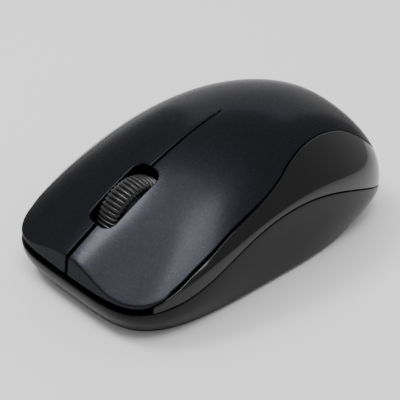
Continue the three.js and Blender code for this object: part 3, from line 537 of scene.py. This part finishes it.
def makeObject(name, points, quads, normals=None):
    # points in millimetres, quads as rows of four corners, and normals for each point where given
    mesh = bpy.data.meshes.new(name)
    mesh.vertices.add(len(points))
    mesh.vertices.foreach_set("co", (np.asarray(points) * mm).astype(np.float32).ravel())
    mesh.loops.add(quads.size)
    mesh.loops.foreach_set("vertex_index", quads.astype(np.int32).ravel())
    mesh.polygons.add(len(quads))
    mesh.polygons.foreach_set("loop_start", np.arange(len(quads), dtype=np.int32) * quads.shape[1])
    mesh.update(calc_edges=True)
    mesh.polygons.foreach_set("use_smooth", np.ones(len(quads), bool))
    if normals is not None:
        mesh.normals_split_custom_set_from_vertices(np.asarray(normals, float).tolist())
    return placeObject(name, mesh)


def stripQuads(first, second):
    # quads between two closed rows of point numbers
    return np.stack([first, np.roll(first, -1), np.roll(second, -1), second], -1)


def gridQuads(index):
    return np.stack([index[:-1, :-1], index[:-1, 1:], index[1:, 1:], index[1:, :-1]], -1).reshape(-1, 4)


def coons(start, end, low, high):
    # Fills four sides: rows blend low to high, columns blend start to end, less the blend of corners.
    u = np.linspace(0, 1, len(start))[None, :, None]
    v = np.linspace(0, 1, len(low))[:, None, None]
    ruledU = lerp(low[:, None], high[:, None], u)
    ruledV = lerp(start[None], end[None], v)
    corners = lerp(lerp(start[0], start[-1], u), lerp(end[0], end[-1], u), v)
    return ruledU + ruledV - corners


def resample(chart, shares):
    # points of a chart polyline at shares of its true length on the dome
    place = domeAt(chart)
    length = np.concatenate([[0], np.cumsum(np.linalg.norm(np.diff(place, axis=0), axis=1))])
    target = np.asarray(shares) * length[-1]
    return np.stack([np.interp(target, length, chart[:, 0]), np.interp(target, length, chart[:, 1])], -1)


def plate(name, start, end, low, high, rolled, thickness, radius, rollSteps=5):
    # A plate of the dome inside four chart sides. Its outer face is the dome, its rim turns down
    # through a quarter circle on the rolled sides and straight down on the others, and its inner face
    # is the dome again, inset by the thickness.
    area = np.cross(high[0] - low[0], end[len(end) // 2] - start[len(start) // 2])
    if area < 0:
        start, end, low, high = start[::-1], end[::-1], high, low
        rolled = {**rolled, "low": rolled["high"], "high": rolled["low"]}
    across, along = len(start), len(low)
    index = np.arange(across * along).reshape(along, across)
    rim = np.concatenate([index[0, :-1], index[:-1, -1], index[-1, :0:-1], index[:0:-1, 0]])
    chart = np.concatenate([start[:-1], high[:-1], end[:0:-1], low[:0:-1]])
    sideSteps = {"start": across - 1, "high": along - 1, "end": across - 1, "low": along - 1}
    sideReach = [radius if rolled[side] else 0.0 for side in sideSteps]
    reachNext = np.repeat(sideReach, list(sideSteps.values()))
    reachBefore = np.roll(reachNext, 1)
    edge = domeAt(chart)
    normal = domeNormal(chart)
    outNext = unit(np.cross(np.roll(edge, -1, 0) - edge, normal))
    outBefore = np.roll(outNext, 1, 0)
    cosine = (outNext * outBefore).sum(-1)
    same = np.abs(reachNext - reachBefore) < 1e-9
    spread = np.where(same, 1, 1 - cosine ** 2)
    shareBefore = np.where(same, reachNext / (1 + cosine), (reachBefore - cosine * reachNext) / spread)
    shareNext = np.where(same, reachNext / (1 + cosine), (reachNext - cosine * reachBefore) / spread)
    outward = outBefore * shareBefore[:, None] + outNext * shareNext[:, None]
    overX, overY = domeSlopes(chart)
    xx, xy, yy = (overX * overX).sum(-1), (overX * overY).sum(-1), (overY * overY).sum(-1)
    px, py = (overX * outward).sum(-1), (overY * outward).sum(-1)
    det = xx * yy - xy ** 2
    shift = np.stack([(px * yy - py * xy) / det, (py * xx - px * xy) / det], -1)
    inner = chart - shift
    sides = np.split(inner, np.cumsum([across - 1, along - 1, across - 1]))
    newStart = np.concatenate([sides[0], sides[1][:1]])
    newHigh = np.concatenate([sides[1], sides[2][:1]])
    newEnd = np.concatenate([sides[2], sides[3][:1]])[::-1]
    newLow = np.concatenate([sides[3], sides[0][:1]])[::-1]
    grid = coons(newStart, newEnd, newLow, newHigh)
    top = domeAt(grid).reshape(-1, 3)
    topNormal = domeNormal(grid).reshape(-1, 3)
    base = top[rim]
    reach = edge - base
    outUnit = np.where(np.linalg.norm(reach, axis=1, keepdims=True) > 1e-4, unit(reach), normal)
    points, normals, quads = [top], [topNormal], [gridQuads(index)]
    before = rim
    count = len(top)
    for step in range(1, rollSteps + 1):
        turn = step / rollSteps * math.pi / 2
        ring = base + reach * math.sin(turn) - topNormal[rim] * radius * (1 - math.cos(turn))
        points.append(ring)
        normals.append(unit(topNormal[rim] * math.cos(turn) + outUnit * math.sin(turn)))
        ringIndex = np.arange(len(rim)) + count
        count += len(rim)
        quads.append(stripQuads(ringIndex, before))
        before = ringIndex
    under = domeAt(grid, thickness)
    underRim = under.reshape(-1, 3)[rim] + reach
    points.append(underRim)
    normals.append(unit(outUnit - topNormal[rim]))
    rimIndex = np.arange(len(rim)) + count
    count += len(rim)
    quads.append(stripQuads(rimIndex, before))
    inside = np.full((along, across), -1)
    inside.ravel()[rim] = rimIndex
    core = inside < 0
    inside[core] = np.arange(core.sum()) + count
    points.append(under[core])
    normals.append(-topNormal.reshape(along, across, 3)[core])
    quads.append(gridQuads(inside)[:, ::-1])
    return makeObject(name, np.concatenate(points), np.concatenate(quads), np.concatenate(normals))


# ---- the cover's edge ----

coverEdge = {
    # angle from +X in degrees, rise up the wall, and the angle of the belt point below it
    "rows": [
        (-90, 0.045, -90), (-75, 0.045, -75), (-63, 0.045, -63), (-58.5, 0.07, -59.5),
        (-56, 0.16, -57), (-51.6, 0.335, -52.5), (-45, 0.43, -46), (-37, 0.51, -37),
        (-20, 0.575, -20), (-4, 0.665, -4), (11, 0.757, 11), (27, 0.817, 26),
        (41, 0.843, 38), (51, 0.838, 47), (58.5, 0.79, 55), (61.8, 0.68, 61),
        (63.3, 0.52, 66.5), (65.2, 0.405, 71), (69.5, 0.33, 76), (78, 0.29, 82), (90, 0.28, 90),
    ],
    "noseGap": 1.1,
    "tailGap": 0.3,
    "gapAngles": (-60, -10),
    "openingAngles": (-63, -58),
    "samples": 60,
}


def catmullRom(rows, samples):
    # Uniform Catmull-Rom curve through the rows, with each end carried on by reflection.
    rows = np.array(rows, float)
    rows = np.concatenate([[2 * rows[0] - rows[1]], rows, [2 * rows[-1] - rows[-2]]])
    t = np.linspace(0, 1, samples, endpoint=False)[:, None, None]
    a, b, c, d = rows[:-3], rows[1:-2], rows[2:-1], rows[3:]
    square = 2 * a - 5 * b + 4 * c - d
    cube = 3 * b - a - 3 * c + d
    curve = 0.5 * (2 * b + (c - a) * t + square * t ** 2 + cube * t ** 3)
    return np.concatenate([curve.transpose(1, 0, 2).reshape(-1, rows.shape[1]), rows[-2:-1]])


def risePerMm(angle, rise):
    step = 0.01
    rise = np.minimum(rise, 0.95)
    apart = domeAt(polarChart(angle, rise + step)) - domeAt(polarChart(angle, rise))
    return step / np.linalg.norm(apart, axis=-1)


def edgeLines():
    # the middle shell's upper edge, the cover's edge a gap above it, and the belt below, +X side
    angle, rise, beltAngle = catmullRom(coverEdge["rows"], coverEdge["samples"]).T
    angle, beltAngle = np.radians(angle), np.radians(beltAngle)
    gap = lerp(coverEdge["noseGap"], coverEdge["tailGap"], ease(*np.radians(coverEdge["gapAngles"]), angle))
    opened = ease(*np.radians(coverEdge["openingAngles"]), angle)
    coverRise = rise + gap * opened * risePerMm(angle, rise)
    return polarChart(angle, rise), polarChart(angle, coverRise), angle, rise, beltAngle


seamLine, coverLine, edgeAngle, edgeRise, beltAngle = edgeLines()


def cutAt(line, y):
    # splits a chart polyline where its plan crosses y, from nose to tail
    planY = domeAt(line)[:, 1]
    after = int(np.argmax(planY > y))
    share = (y - planY[after - 1]) / (planY[after] - planY[after - 1])
    crossing = lerp(line[after - 1], line[after], share)
    return np.concatenate([line[:after], [crossing]]), np.concatenate([[crossing], line[after:]])


cover = {
    "thickness": 1.6,
    "roll": 0.35,
    "slitHalf": 0.48,
    "slitTipHalf": 0.1,
    "slitTaper": 0.8,
    "slitFlare": 0.105,
    "slitFlareLong": 0.02,
    "slitFrontY": -49.0,
    "slotHalf": 4.35,
    "slotFrontY": -40,
    "slotBackY": -22,
    "slotCorner": 2.8,
    "cornerAngle": -61,
    "palmCornerAngle": 65.5,
    "keyRows": 230,
    "keyRowCrowding": 1.5,
    "keyColumns": 100,
    "keyColumnCrowding": 1.25,
    "palmRows": 150,
    "hingeGrid": 100,
}
hingeY = joints["left_click"]["pos_m"][1] / mm


def slitHalf(y):
    # the slit narrows from the nose to a fine end at the hinge line
    share = np.clip((hingeY - y) / (hingeY + dome["halfLength"]), 0, 1)
    return lerp(cover["slitTipHalf"], cover["slitHalf"], share ** cover["slitTaper"])


def keyInnerSide():
    # from the hinge along the slit, round the wheel slot, along the slit and down over the front lip
    half, corner = cover["slotHalf"], cover["slotCorner"]
    front, back = cover["slotFrontY"], cover["slotBackY"]
    rearSlitY = np.linspace(hingeY, back, 160)
    turn = np.linspace(0, np.pi / 2, 24)
    rearX = half - corner + corner * np.sin(turn)
    rearY = back - corner + corner * np.cos(turn)
    frontX = half - corner + corner * np.cos(turn)
    frontY = front + corner - corner * np.sin(turn)
    frontSlitY = np.linspace(front, cover["slitFrontY"], 60)
    flareX = [slitHalf(back) + cover["slitFlare"]]
    flareY = [back - cover["slitFlareLong"]]
    x = np.concatenate([slitHalf(rearSlitY[:-1]), flareX, rearX, frontX, slitHalf(frontSlitY)])
    y = np.concatenate([rearSlitY[:-1], flareY, rearY, frontY, frontSlitY])
    plan = planChart(x, y)
    lipFar = np.hypot(*coverLine[0])
    far = np.linspace(np.hypot(*plan[-1]), lipFar, 60)[1:]
    reach = beltRadius(-np.pi / 2) * np.sin(np.pi / 2 * far)
    angle = -np.arccos(cover["slitHalf"] / reach)
    return np.concatenate([plan, np.stack([far * np.cos(angle), far * np.sin(angle)], -1)])


def mirrored(line):
    # carries a line that ends on the middle plane on along the other side
    return np.concatenate([line[:-1], (line * (-1, 1))[::-1]])


def hingeLine(x0, x1, shares):
    x = lerp(x0, x1, shares)
    return planChart(x, np.full_like(x, hingeY))


def coverSides():
    front, rear = cutAt(coverLine, hingeY)
    inner = keyInnerSide()
    x = domeAt(front)[:, 0]
    nearSlit = int(np.argmax(x > domeAt(inner[-1:])[0, 0]))
    lipStart = np.concatenate([inner[-1:], front[nearSlit:]])
    lipAngle = np.arctan2(lipStart[:, 1], lipStart[:, 0])
    cornerIndex = int(np.argmax(lipAngle > math.radians(cover["cornerAngle"])))
    lip, outer = lipStart[:cornerIndex + 1], lipStart[cornerIndex:]
    return inner, lip, outer, rear


def buildCovers(lacquerMaterial):
    inner, lip, outer, rear = coverSides()
    # the mesh rows and columns crowd towards the lip and the outer edge
    rows = 1 - (1 - np.linspace(0, 1, cover["keyRows"])) ** cover["keyRowCrowding"]
    columns = 1 - (1 - np.linspace(0, 1, cover["keyColumns"])) ** cover["keyColumnCrowding"]
    innerX = domeAt(inner[:1])[0, 0]
    outerX = domeAt(outer[-1:])[0, 0]
    pieces = {}
    for side, sign in (("left", 1), ("right", -1)):
        flip = np.array((sign, 1))
        pieces[side] = plate(
            f"{side}KeySkin",
            start=hingeLine(innerX, outerX, columns) * flip,
            end=resample(lip, columns) * flip,
            low=resample(inner, rows) * flip,
            high=resample(outer[::-1], rows) * flip,
            rolled={"start": False, "end": True, "low": True, "high": True},
            thickness=cover["thickness"],
            radius=cover["roll"],
        )
        dress(pieces[side], lacquerMaterial)
        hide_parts(f"{side}_button")
        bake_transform(pieces[side])
    flip = np.array((-1, 1))
    rearAngle = np.arctan2(rear[:, 1], rear[:, 0])
    tailIndex = int(np.argmax(rearAngle > math.radians(cover["palmCornerAngle"])))
    side, tail = rear[:tailIndex + 1], rear[tailIndex:]
    tail = mirrored(tail)
    acrossCount = 2 * cover["hingeGrid"] + 1
    even = np.linspace(0, 1, acrossCount)
    palmRows = np.linspace(0, 1, cover["palmRows"])
    palm = plate(
        "palmSkin",
        start=hingeLine(outerX, -outerX, even),
        end=resample(tail, even),
        low=resample(side, palmRows),
        high=resample(side * flip, palmRows),
        rolled={"start": False, "end": True, "low": True, "high": True},
        thickness=cover["thickness"],
        radius=cover["roll"],
    )
    dress(palm, lacquerMaterial)
    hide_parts("palm_cover")
    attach(palm, "housing")
    print("covers built")


# ---- middle shell ----

middle = {"thickness": 1.5, "roll": 0.22, "tipAngle": -60.5, "rows": 44, "columns": 700}


def buildMiddle(glossMaterial):
    shown = edgeAngle >= math.radians(middle["tipAngle"])
    top = mirrored(seamLine[shown])
    belt = mirrored(polarChart(beltAngle[shown], np.zeros(shown.sum())))
    pick = np.linspace(0, len(top) - 1, middle["columns"])
    rank = np.arange(len(top))
    top = np.stack([np.interp(pick, rank, top[:, i]) for i in (0, 1)], -1)
    belt = np.stack([np.interp(pick, rank, belt[:, i]) for i in (0, 1)], -1)
    share = np.linspace(0, 1, middle["rows"])[:, None]
    skin = plate(
        "middleSkin",
        start=belt,
        end=top,
        low=lerp(belt[0], top[0], share),
        high=lerp(belt[-1], top[-1], share),
        rolled={"start": True, "end": True, "low": True, "high": True},
        thickness=middle["thickness"],
        radius=middle["roll"],
    )
    dress(skin, glossMaterial)
    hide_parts("middle_shell")
    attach(skin, "housing")
    print("middle shell built")


# ---- base shell ----

base = {
    "bottomZ": 0.7,
    "floor": 2.0,
    "wall": 1.8,
    "sideTuck": 2.3,
    "noseTuck": 3.4,
    "tailTuck": 2.9,
    "noseSquareness": 4.1,
    "tailSquareness": 2.75,
    "footRound": 0.9,
    "footRoundShare": 0.85,
    "footRoundInset": 0.02,
    "seamGap": 0.35,
    "rimRound": 0.22,
    "tongueInset": 2.4,
    "tongueWidth": 1.2,
    "tongueHeight": 0.9,
    "tongueFoot": 0.75,
    "wallBend": (0.4, 0.45),
    "floorRound": 0.5,
    "edge": 0.05,
    "columns": 480,
    "wallRows": 26,
}


def footRadius(angle):
    return ovalRadius(
        angle,
        dome["halfWidth"] - base["sideTuck"],
        dome["halfLength"] - base["noseTuck"],
        dome["halfLength"] - base["tailTuck"],
        base["noseSquareness"],
        base["tailSquareness"],
    )


def ringPoint(angle, radius, z):
    x = radius * np.cos(angle)
    y = dome["widestY"] + radius * np.sin(angle)
    return np.stack([x, y, np.broadcast_to(z, angle.shape)], -1)


def baseWallRadius(angle, share):
    # leaves the foot outline at a slant and reaches the belt outline upright
    return lerp(footRadius(angle), beltRadius(angle), 1 - (1 - share) ** 2)


def loftRings(name, rings):
    # Joins closed rings of points and closes the first and last ring with a fan about its middle.
    count = len(rings[0])
    points = np.concatenate(rings + [rings[0].mean(0)[None], rings[-1].mean(0)[None]])
    index = np.arange(len(rings) * count).reshape(len(rings), count)
    index = np.concatenate([index, index[:, :1]], 1)
    quads = gridQuads(index)
    hub, tip = len(points) - 2, len(points) - 1
    first = np.stack([index[0, 1:], index[0, :-1], np.full(count, hub)], -1)
    last = np.stack([index[-1, :-1], index[-1, 1:], np.full(count, tip)], -1)
    faces = [list(face) for part in (quads, first, last) for face in part.tolist()]
    mesh = bpy.data.meshes.new(name)
    mesh.from_pydata((points * mm).tolist(), [], faces)
    mesh.polygons.foreach_set("use_smooth", np.ones(len(faces), bool))
    mesh.update()
    return placeObject(name, mesh)


underside = {
    "above": 4.2,
    "below": -1.0,
    "doorHalfWidth": 14.1,
    "doorFrontY": -10.3,
    "doorBackY": 41.3,
    "doorCorner": 2.3,
    "apertureY": -15.2,
    "apertureRadius": 2.6,
    "roundLeft": 0.001,
    # middle in x and y, width, length and corner radius
    "knobWay": (14.75, -20.0, 6.5, 3.0, 0.6),
    "screws": [(21.2, -14.0), (-21.2, -14.0), (17.4, 33.5), (-17.4, 33.5)],
    "screwHead": 2.2,
    "screwSink": 2.1,
    "screwShank": 1.3,
    "footGap": 0.3,
    "footPocketZ": 1.3,
    "footCorner": 1.9,
    "footRoll": 0.3,
    "footEdge": 0.05,
    "insideWall": 2.7,
    "insideFloor": 2.6,
}
footNames = ["foot_front_left", "foot_front_right", "foot_rear_left", "foot_rear_right"]
screwNames = ["screw_front_left", "screw_front_right", "screw_rear_left", "screw_rear_right"]


def padRing(x, y, wide, long, corner, z):
    # rounded rectangle, each corner a quarter circle about its own centre
    turn = np.arange(4)[:, None] * np.pi / 2 + np.linspace(0, np.pi / 2, 10)
    cornerX = np.array([1, -1, -1, 1])[:, None] * (wide / 2 - corner)
    cornerY = np.array([1, 1, -1, -1])[:, None] * (long / 2 - corner)
    aroundX = x + cornerX + corner * np.cos(turn)
    aroundY = y + cornerY + corner * np.sin(turn)
    around = np.stack([aroundX, aroundY], -1).reshape(-1, 2)
    return np.concatenate([around, np.full((len(around), 1), z)], 1)


def prism(name, x, y, wide, long, corner, z0, z1):
    return loftRings(name, [padRing(x, y, wide, long, corner, z0), padRing(x, y, wide, long, corner, z1)])


def roundHole(name, x, y, radius, z0, z1):
    # a prism whose corners leave next to nothing of its straight sides
    return prism(name, x, y, 2 * radius, 2 * radius, radius - underside["roundLeft"], z0, z1)


def footPlan(name):
    low, high = cadSize(name)
    return (low[0] + high[0]) / 2, (low[1] + high[1]) / 2, high[0] - low[0], high[1] - low[1]


def baseCutters():
    z0, z1 = underside["below"], underside["above"]
    doorWide = 2 * underside["doorHalfWidth"]
    doorLong = underside["doorBackY"] - underside["doorFrontY"]
    doorY = (underside["doorBackY"] + underside["doorFrontY"]) / 2
    cutters = [prism("doorWay", 0, doorY, doorWide, doorLong, underside["doorCorner"], z0, z1)]
    cutters.append(roundHole("aperture", 0, underside["apertureY"], underside["apertureRadius"], z0, z1))
    cutters.append(prism("knobWay", *underside["knobWay"], z0, z1))
    for x, y in underside["screws"]:
        cutters.append(roundHole("screwHead", x, y, underside["screwHead"], z0, underside["screwSink"]))
        cutters.append(roundHole("screwShank", x, y, underside["screwShank"], z0, z1))
    grow = 2 * underside["footGap"]
    corner = underside["footCorner"] + underside["footGap"]
    pocketZ = underside["footPocketZ"]
    for name in footNames:
        x, y, wide, long = footPlan(name)
        cutters.append(prism("footPocket", x, y, wide + grow, long + grow, corner, z0, pocketZ))
    return cutters


def carve(obj, tools, operation):
    for tool in tools:
        step = obj.modifiers.new(tool.name, "BOOLEAN")
        step.solver = "EXACT"
        step.operation = operation
        step.object = tool
    shaped = bpy.data.meshes.new_from_object(obj.evaluated_get(bpy.context.evaluated_depsgraph_get()))
    obj.modifiers.clear()
    obj.data = shaped
    for tool in tools:
        bpy.data.objects.remove(tool)


def buildInsides(insideMaterial):
    # The ribs, screw bosses and battery bay walls that stand on the floor inside the base.
    node = frame["nodes"]["base_shell"]
    mesh = node.data.copy()
    mesh.transform(node.matrix_world)
    insides = placeObject("baseInsides", mesh)
    angle = np.linspace(0, 2 * np.pi, 160, endpoint=False) - np.pi / 2
    radius = footRadius(angle) - underside["insideWall"]
    rings = [ringPoint(angle, radius, underside["insideFloor"]), ringPoint(angle, radius, dome["height"])]
    carve(insides, [loftRings("inside", rings)], "INTERSECT")
    dress(insides, insideMaterial)
    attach(insides, "housing")
    print("insides built")


def turned(name, profile, centreX, centreY, aroundSteps):
    # rows of height and radius turned about an upright axis
    around = np.linspace(0, 2 * np.pi, aroundSteps, endpoint=False)
    rings = []
    for z, radius in profile:
        x = centreX + radius * np.cos(around)
        y = centreY + radius * np.sin(around)
        rings.append(np.stack([x, y, np.full(aroundSteps, z)], -1))
    return loftRings(name, rings)


screwForm = {
    "headRadius": 1.9,
    "headHeight": 0.9,
    "domeHeight": 0.4,
    "domeWidth": 0.55,
    "edge": 0.05,
    "fillet": 0.1,
    "shank": 1.0,
    "root": 0.78,
    "pitch": 0.7,
    "threadStart": 0.4,
    "crestStart": 0.22,
    "crestEnd": 0.32,
    "threadWidth": 0.5,
    "tip": 1.1,
    "tipRadius": 0.35,
    "tipFlat": 0.15,
    "tipFlatHeight": 0.1,
    "aroundSteps": 48,
}
crossForm = {"wide": 0.6, "long": 2.3, "deep": 0.6, "corner": 0.08}


def screwProfile(bottom, top):
    # heights and radii of a screw that stands on its head
    head, shank, root = screwForm["headRadius"], screwForm["shank"], screwForm["root"]
    high, wide = screwForm["domeHeight"], screwForm["domeWidth"]
    edge, fillet = screwForm["edge"], screwForm["fillet"]
    seat = bottom + screwForm["headHeight"]
    turn = np.linspace(0, np.pi / 2, 7)
    profile = [(bottom + high * (1 - math.cos(t)), head - wide * (1 - math.sin(t))) for t in turn]
    profile += [(seat - edge, head), (seat, head - edge), (seat, shank + fillet), (seat + fillet, shank)]
    crestStart, crestEnd = screwForm["crestStart"], screwForm["crestEnd"]
    for z in np.arange(seat + screwForm["threadStart"], top - screwForm["tip"], screwForm["pitch"]):
        profile += [(z, root), (z + crestStart, shank), (z + crestEnd, shank)]
        profile.append((z + screwForm["threadWidth"], root))
    tipZ = top - screwForm["tipFlatHeight"]
    return profile + [(tipZ, screwForm["tipRadius"]), (top, screwForm["tipFlat"])]


def buildScrews(steel):
    # Pan head with a cross recess over a shank with a rolled thread and a tapered tip.
    for name in screwNames:
        low, high = cadSize(name)
        x, y = (low[:2] + high[:2]) / 2
        skin = turned(name + "Skin", screwProfile(low[2], high[2]), x, y, screwForm["aroundSteps"])
        wide, long, corner = crossForm["wide"], crossForm["long"], crossForm["corner"]
        deep = low[2] + crossForm["deep"]
        crosses = [
            prism("crossA", x, y, wide, long, corner, underside["below"], deep),
            prism("crossB", x, y, long, wide, corner, underside["below"], deep),
        ]
        carve(skin, crosses, "DIFFERENCE")
        dress(skin, steel, sharpAngle=40)
        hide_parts(name)
        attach(skin, "housing")
    print("screws built")


cellForm = {
    "round": 0.7,
    "nub": 2.75,
    "nubHeight": 1.2,
    "nubRound": 0.3,
    "nubFillet": 0.05,
    "filmLip": 0.15,
    "lipInset": 1.3,
    "endRadius": 0.5,
    "straightFrom": 3,
    "straightRows": 14,
    "aroundSteps": 120,
}


def buildCell(sleeve):
    # The sleeve rolls over both ends on to the can, and the positive nub stands proud of the front.
    low, high = cadSize("aa_cell")
    centre, radius = (low + high) / 2, (high[2] - low[2]) / 2
    lip, inset, turn = cellForm["filmLip"], cellForm["lipInset"], np.linspace(0, np.pi / 2, 9)
    front = low[1] + cellForm["nubHeight"]
    nub, nubRound, rolled = cellForm["nub"], cellForm["nubRound"], cellForm["round"]
    fillet, straight = cellForm["nubFillet"], cellForm["straightFrom"]
    profile = [(low[1] + nubRound * (1 - math.cos(t)), nub - nubRound * (1 - math.sin(t))) for t in turn]
    profile += [(front + lip - fillet, nub), (front + lip, nub + fillet), (front + lip, radius - inset)]
    profile += [(front + rolled * (1 - math.cos(t)), radius - rolled * (1 - math.sin(t))) for t in turn]
    rows = np.linspace(front + straight, high[1] - straight, cellForm["straightRows"])
    profile += [(y, radius) for y in rows]
    profile += [(high[1] - rolled * (1 - math.sin(t)), radius - rolled * (1 - math.cos(t))) for t in turn]
    profile += [(high[1] - lip, radius - inset), (high[1] - lip, cellForm["endRadius"])]
    around = np.linspace(0, 2 * np.pi, cellForm["aroundSteps"], endpoint=False)
    rings = []
    for y, r in profile:
        x = centre[0] + r * np.cos(around)
        z = centre[2] - r * np.sin(around)
        rings.append(np.stack([x, np.full_like(around, y), z], -1))
    cell = loftRings("cellSkin", rings)
    dress(cell, sleeve, sharpAngle=50)
    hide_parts("aa_cell")
    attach(cell, "housing")
    print("cell built")


def buildFeet(ptfe):
    roll, corner, edge = underside["footRoll"], underside["footCorner"], underside["footEdge"]
    for name in footNames:
        x, y, wide, long = footPlan(name)
        low, high = cadSize(name)
        rings = []
        for turn in np.linspace(0, np.pi / 2, 6):
            inset = roll * (1 - math.sin(turn))
            z = low[2] + roll * (1 - math.cos(turn))
            rings.append(padRing(x, y, wide - 2 * inset, long - 2 * inset, corner - inset, z))
        rings.append(padRing(x, y, wide, long, corner, high[2] - edge))
        rings.append(padRing(x, y, wide - 2 * edge, long - 2 * edge, corner - edge, high[2]))
        foot = loftRings(name + "Skin", rings)
        dress(foot, ptfe, sharpAngle=50)
        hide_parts(name)
        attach(foot, "housing")
    print("feet built")


def buildBase(casingMaterial):
    angle = np.linspace(0, 2 * np.pi, base["columns"], endpoint=False) - np.pi / 2
    rimZ = domeAt(polarChart(angle, np.zeros_like(angle)))[:, 2] - base["seamGap"]
    floorZ = base["bottomZ"] + base["floor"]
    rounding = base["footRound"]
    footZ = base["bottomZ"] + rounding
    # two rings on the flat bottom, halfway out and just inside the rounding
    rings = [
        ringPoint(angle, footRadius(angle) * 0.5, base["bottomZ"]),
        ringPoint(angle, footRadius(angle) - 1.5 * rounding, base["bottomZ"]),
    ]
    for turn in np.linspace(0, np.pi / 2 * base["footRoundShare"], 7):
        radius = footRadius(angle) - rounding * (1 - math.sin(turn)) - base["footRoundInset"]
        rings.append(ringPoint(angle, radius, base["bottomZ"] + rounding * (1 - math.cos(turn))))
    rimRound = base["rimRound"]
    for share in np.linspace(0, 1, base["wallRows"])[1:]:
        rings.append(ringPoint(angle, baseWallRadius(angle, share), lerp(footZ, rimZ - rimRound, share)))
    for turn in np.linspace(0, np.pi / 2, 6)[1:]:
        radius = beltRadius(angle) - rimRound * (1 - math.cos(turn))
        rings.append(ringPoint(angle, radius, rimZ - rimRound * (1 - math.sin(turn))))
    tongueOut = beltRadius(angle) - base["tongueInset"]
    tongueIn = tongueOut - base["tongueWidth"]
    tongueZ = rimZ + base["seamGap"] + base["tongueHeight"]
    edge, wall, floorRound = base["edge"], base["wall"], base["floorRound"]
    bendShare, bendHeight = base["wallBend"]
    # over the tongue and down the inner face of the wall to the floor
    inward = [
        (tongueOut + edge, rimZ),
        (tongueOut, rimZ + edge),
        (tongueOut, tongueZ - edge),
        (tongueOut - edge, tongueZ),
        (tongueIn + edge, tongueZ),
        (tongueIn, tongueZ - edge),
        (tongueIn, lerp(floorZ, rimZ, base["tongueFoot"])),
        (baseWallRadius(angle, bendShare) - wall, lerp(floorZ, rimZ, bendHeight)),
        (footRadius(angle) - wall, floorZ + floorRound),
        (footRadius(angle) - wall - floorRound, floorZ),
    ]
    rings += [ringPoint(angle, radius, z) for radius, z in inward]
    shell = loftRings("baseSkin", rings)
    carve(shell, baseCutters(), "DIFFERENCE")
    dress(shell, casingMaterial, sharpAngle=40)
    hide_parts("base_shell")
    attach(shell, "housing")
    print("base shell built")


# ---- scroll wheel ----

tyre = {
    "ribs": 52,
    "ribDepth": 0.6,
    "perRib": 14,
    "valleyPower": 2.0,
    "thick": 2.1,
    "boreEdge": 0.15,
    "shoulder": 1.3,
    "crown": 0.6,
    "profileSteps": 34,
}


def buildTyre(rubberMaterial):
    low, high = cadSize("wheel_tyre")
    radius = (high[1] - low[1]) / 2
    half = (high[0] - low[0]) / 2
    centreY, centreZ = (high[1] + low[1]) / 2, (high[2] + low[2]) / 2
    bore = radius - tyre["thick"]
    shoulder, chamfer = tyre["shoulder"], tyre["boreEdge"]
    flat = np.linspace(-1, 1, tyre["profileSteps"]) * (half - shoulder)
    crown = radius - tyre["crown"] * (flat / half) ** 2
    turn = np.linspace(0, np.pi / 2, 8)[1:]
    rightX = half - shoulder + shoulder * np.sin(turn)
    rightR = crown[-1] - shoulder + shoulder * np.cos(turn)
    boreX = [half, half - chamfer, -half + chamfer, -half]
    boreR = [bore + chamfer, bore, bore, bore + chamfer]
    profileX = np.concatenate([flat, rightX, boreX, -rightX[::-1]])
    profileR = np.concatenate([crown, rightR, boreR, rightR[::-1]])
    # the grooves are full over the tread and run out down the shoulders
    fade = np.cos(turn) ** 0.5 * 0.9 + 0.1
    ribbed = np.concatenate([np.ones(len(flat)), fade, np.zeros(4), fade[::-1]])
    around = np.linspace(0, 2 * np.pi, tyre["ribs"] * tyre["perRib"], endpoint=False)
    # each groove is a narrow smooth valley between broad rib tops
    valley = (0.5 + 0.5 * np.cos(around * tyre["ribs"])) ** tyre["valleyPower"]
    r = profileR[None, :] - tyre["ribDepth"] * valley[:, None] * ribbed[None, :]
    x = np.broadcast_to(profileX[None, :], r.shape)
    points = np.stack([x, centreY + r * np.cos(around)[:, None], centreZ + r * np.sin(around)[:, None]], -1)
    index = np.arange(r.size).reshape(r.shape)
    index = np.concatenate([index, index[:1]])
    index = np.concatenate([index, index[:, :1]], 1)
    obj = makeObject("tyreSkin", points.reshape(-1, 3), gridQuads(index)[:, ::-1])
    dress(obj, rubberMaterial, sharpAngle=60)
    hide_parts("wheel_tyre")
    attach(obj, "scroll_wheel")
    print("tyre built")


# ---- everything together ----

buildCamera()
buildStage()
buildLights()
lacquerMaterial = graphiteLacquer()
glossMaterial = polishedAbs()
grainMaterial = texturedAbs()
rubberMaterial = mouldedRubber()
buildCovers(lacquerMaterial)
buildMiddle(glossMaterial)
baseMaterial = satinAbs()
buildBase(baseMaterial)
buildTyre(rubberMaterial)
slotMaterials = {
    "gloss_shell": glossMaterial,
    "metallic_cover": lacquerMaterial,
    "tyre_rubber": rubberMaterial,
    "grey_acetal": greyAcetal(),
    "matt_black": grainMaterial,
    "steel": drawnSteel(),
    "circuit_board": solderMask(),
    "tin_plate": tinPlate(),
    "white_acetal": whiteAcetal(),
    "clear_plastic": clearPolycarbonate(),
    "red_plastic": redPvc(),
    "cell_jacket": shrunkJacket(),
    "glide_pad": slidingPtfe(),
}
buildInsides(grainMaterial)
buildFeet(slotMaterials["glide_pad"])
buildScrews(slotMaterials["steel"])
buildCell(slotMaterials["cell_jacket"])
for name, node in frame["nodes"].items():
    dress(node, slotMaterials[slotOfNode[name]])
frame["nodes"]["battery_door"].data.materials[0] = baseMaterial
print("carried-over parts dressed")
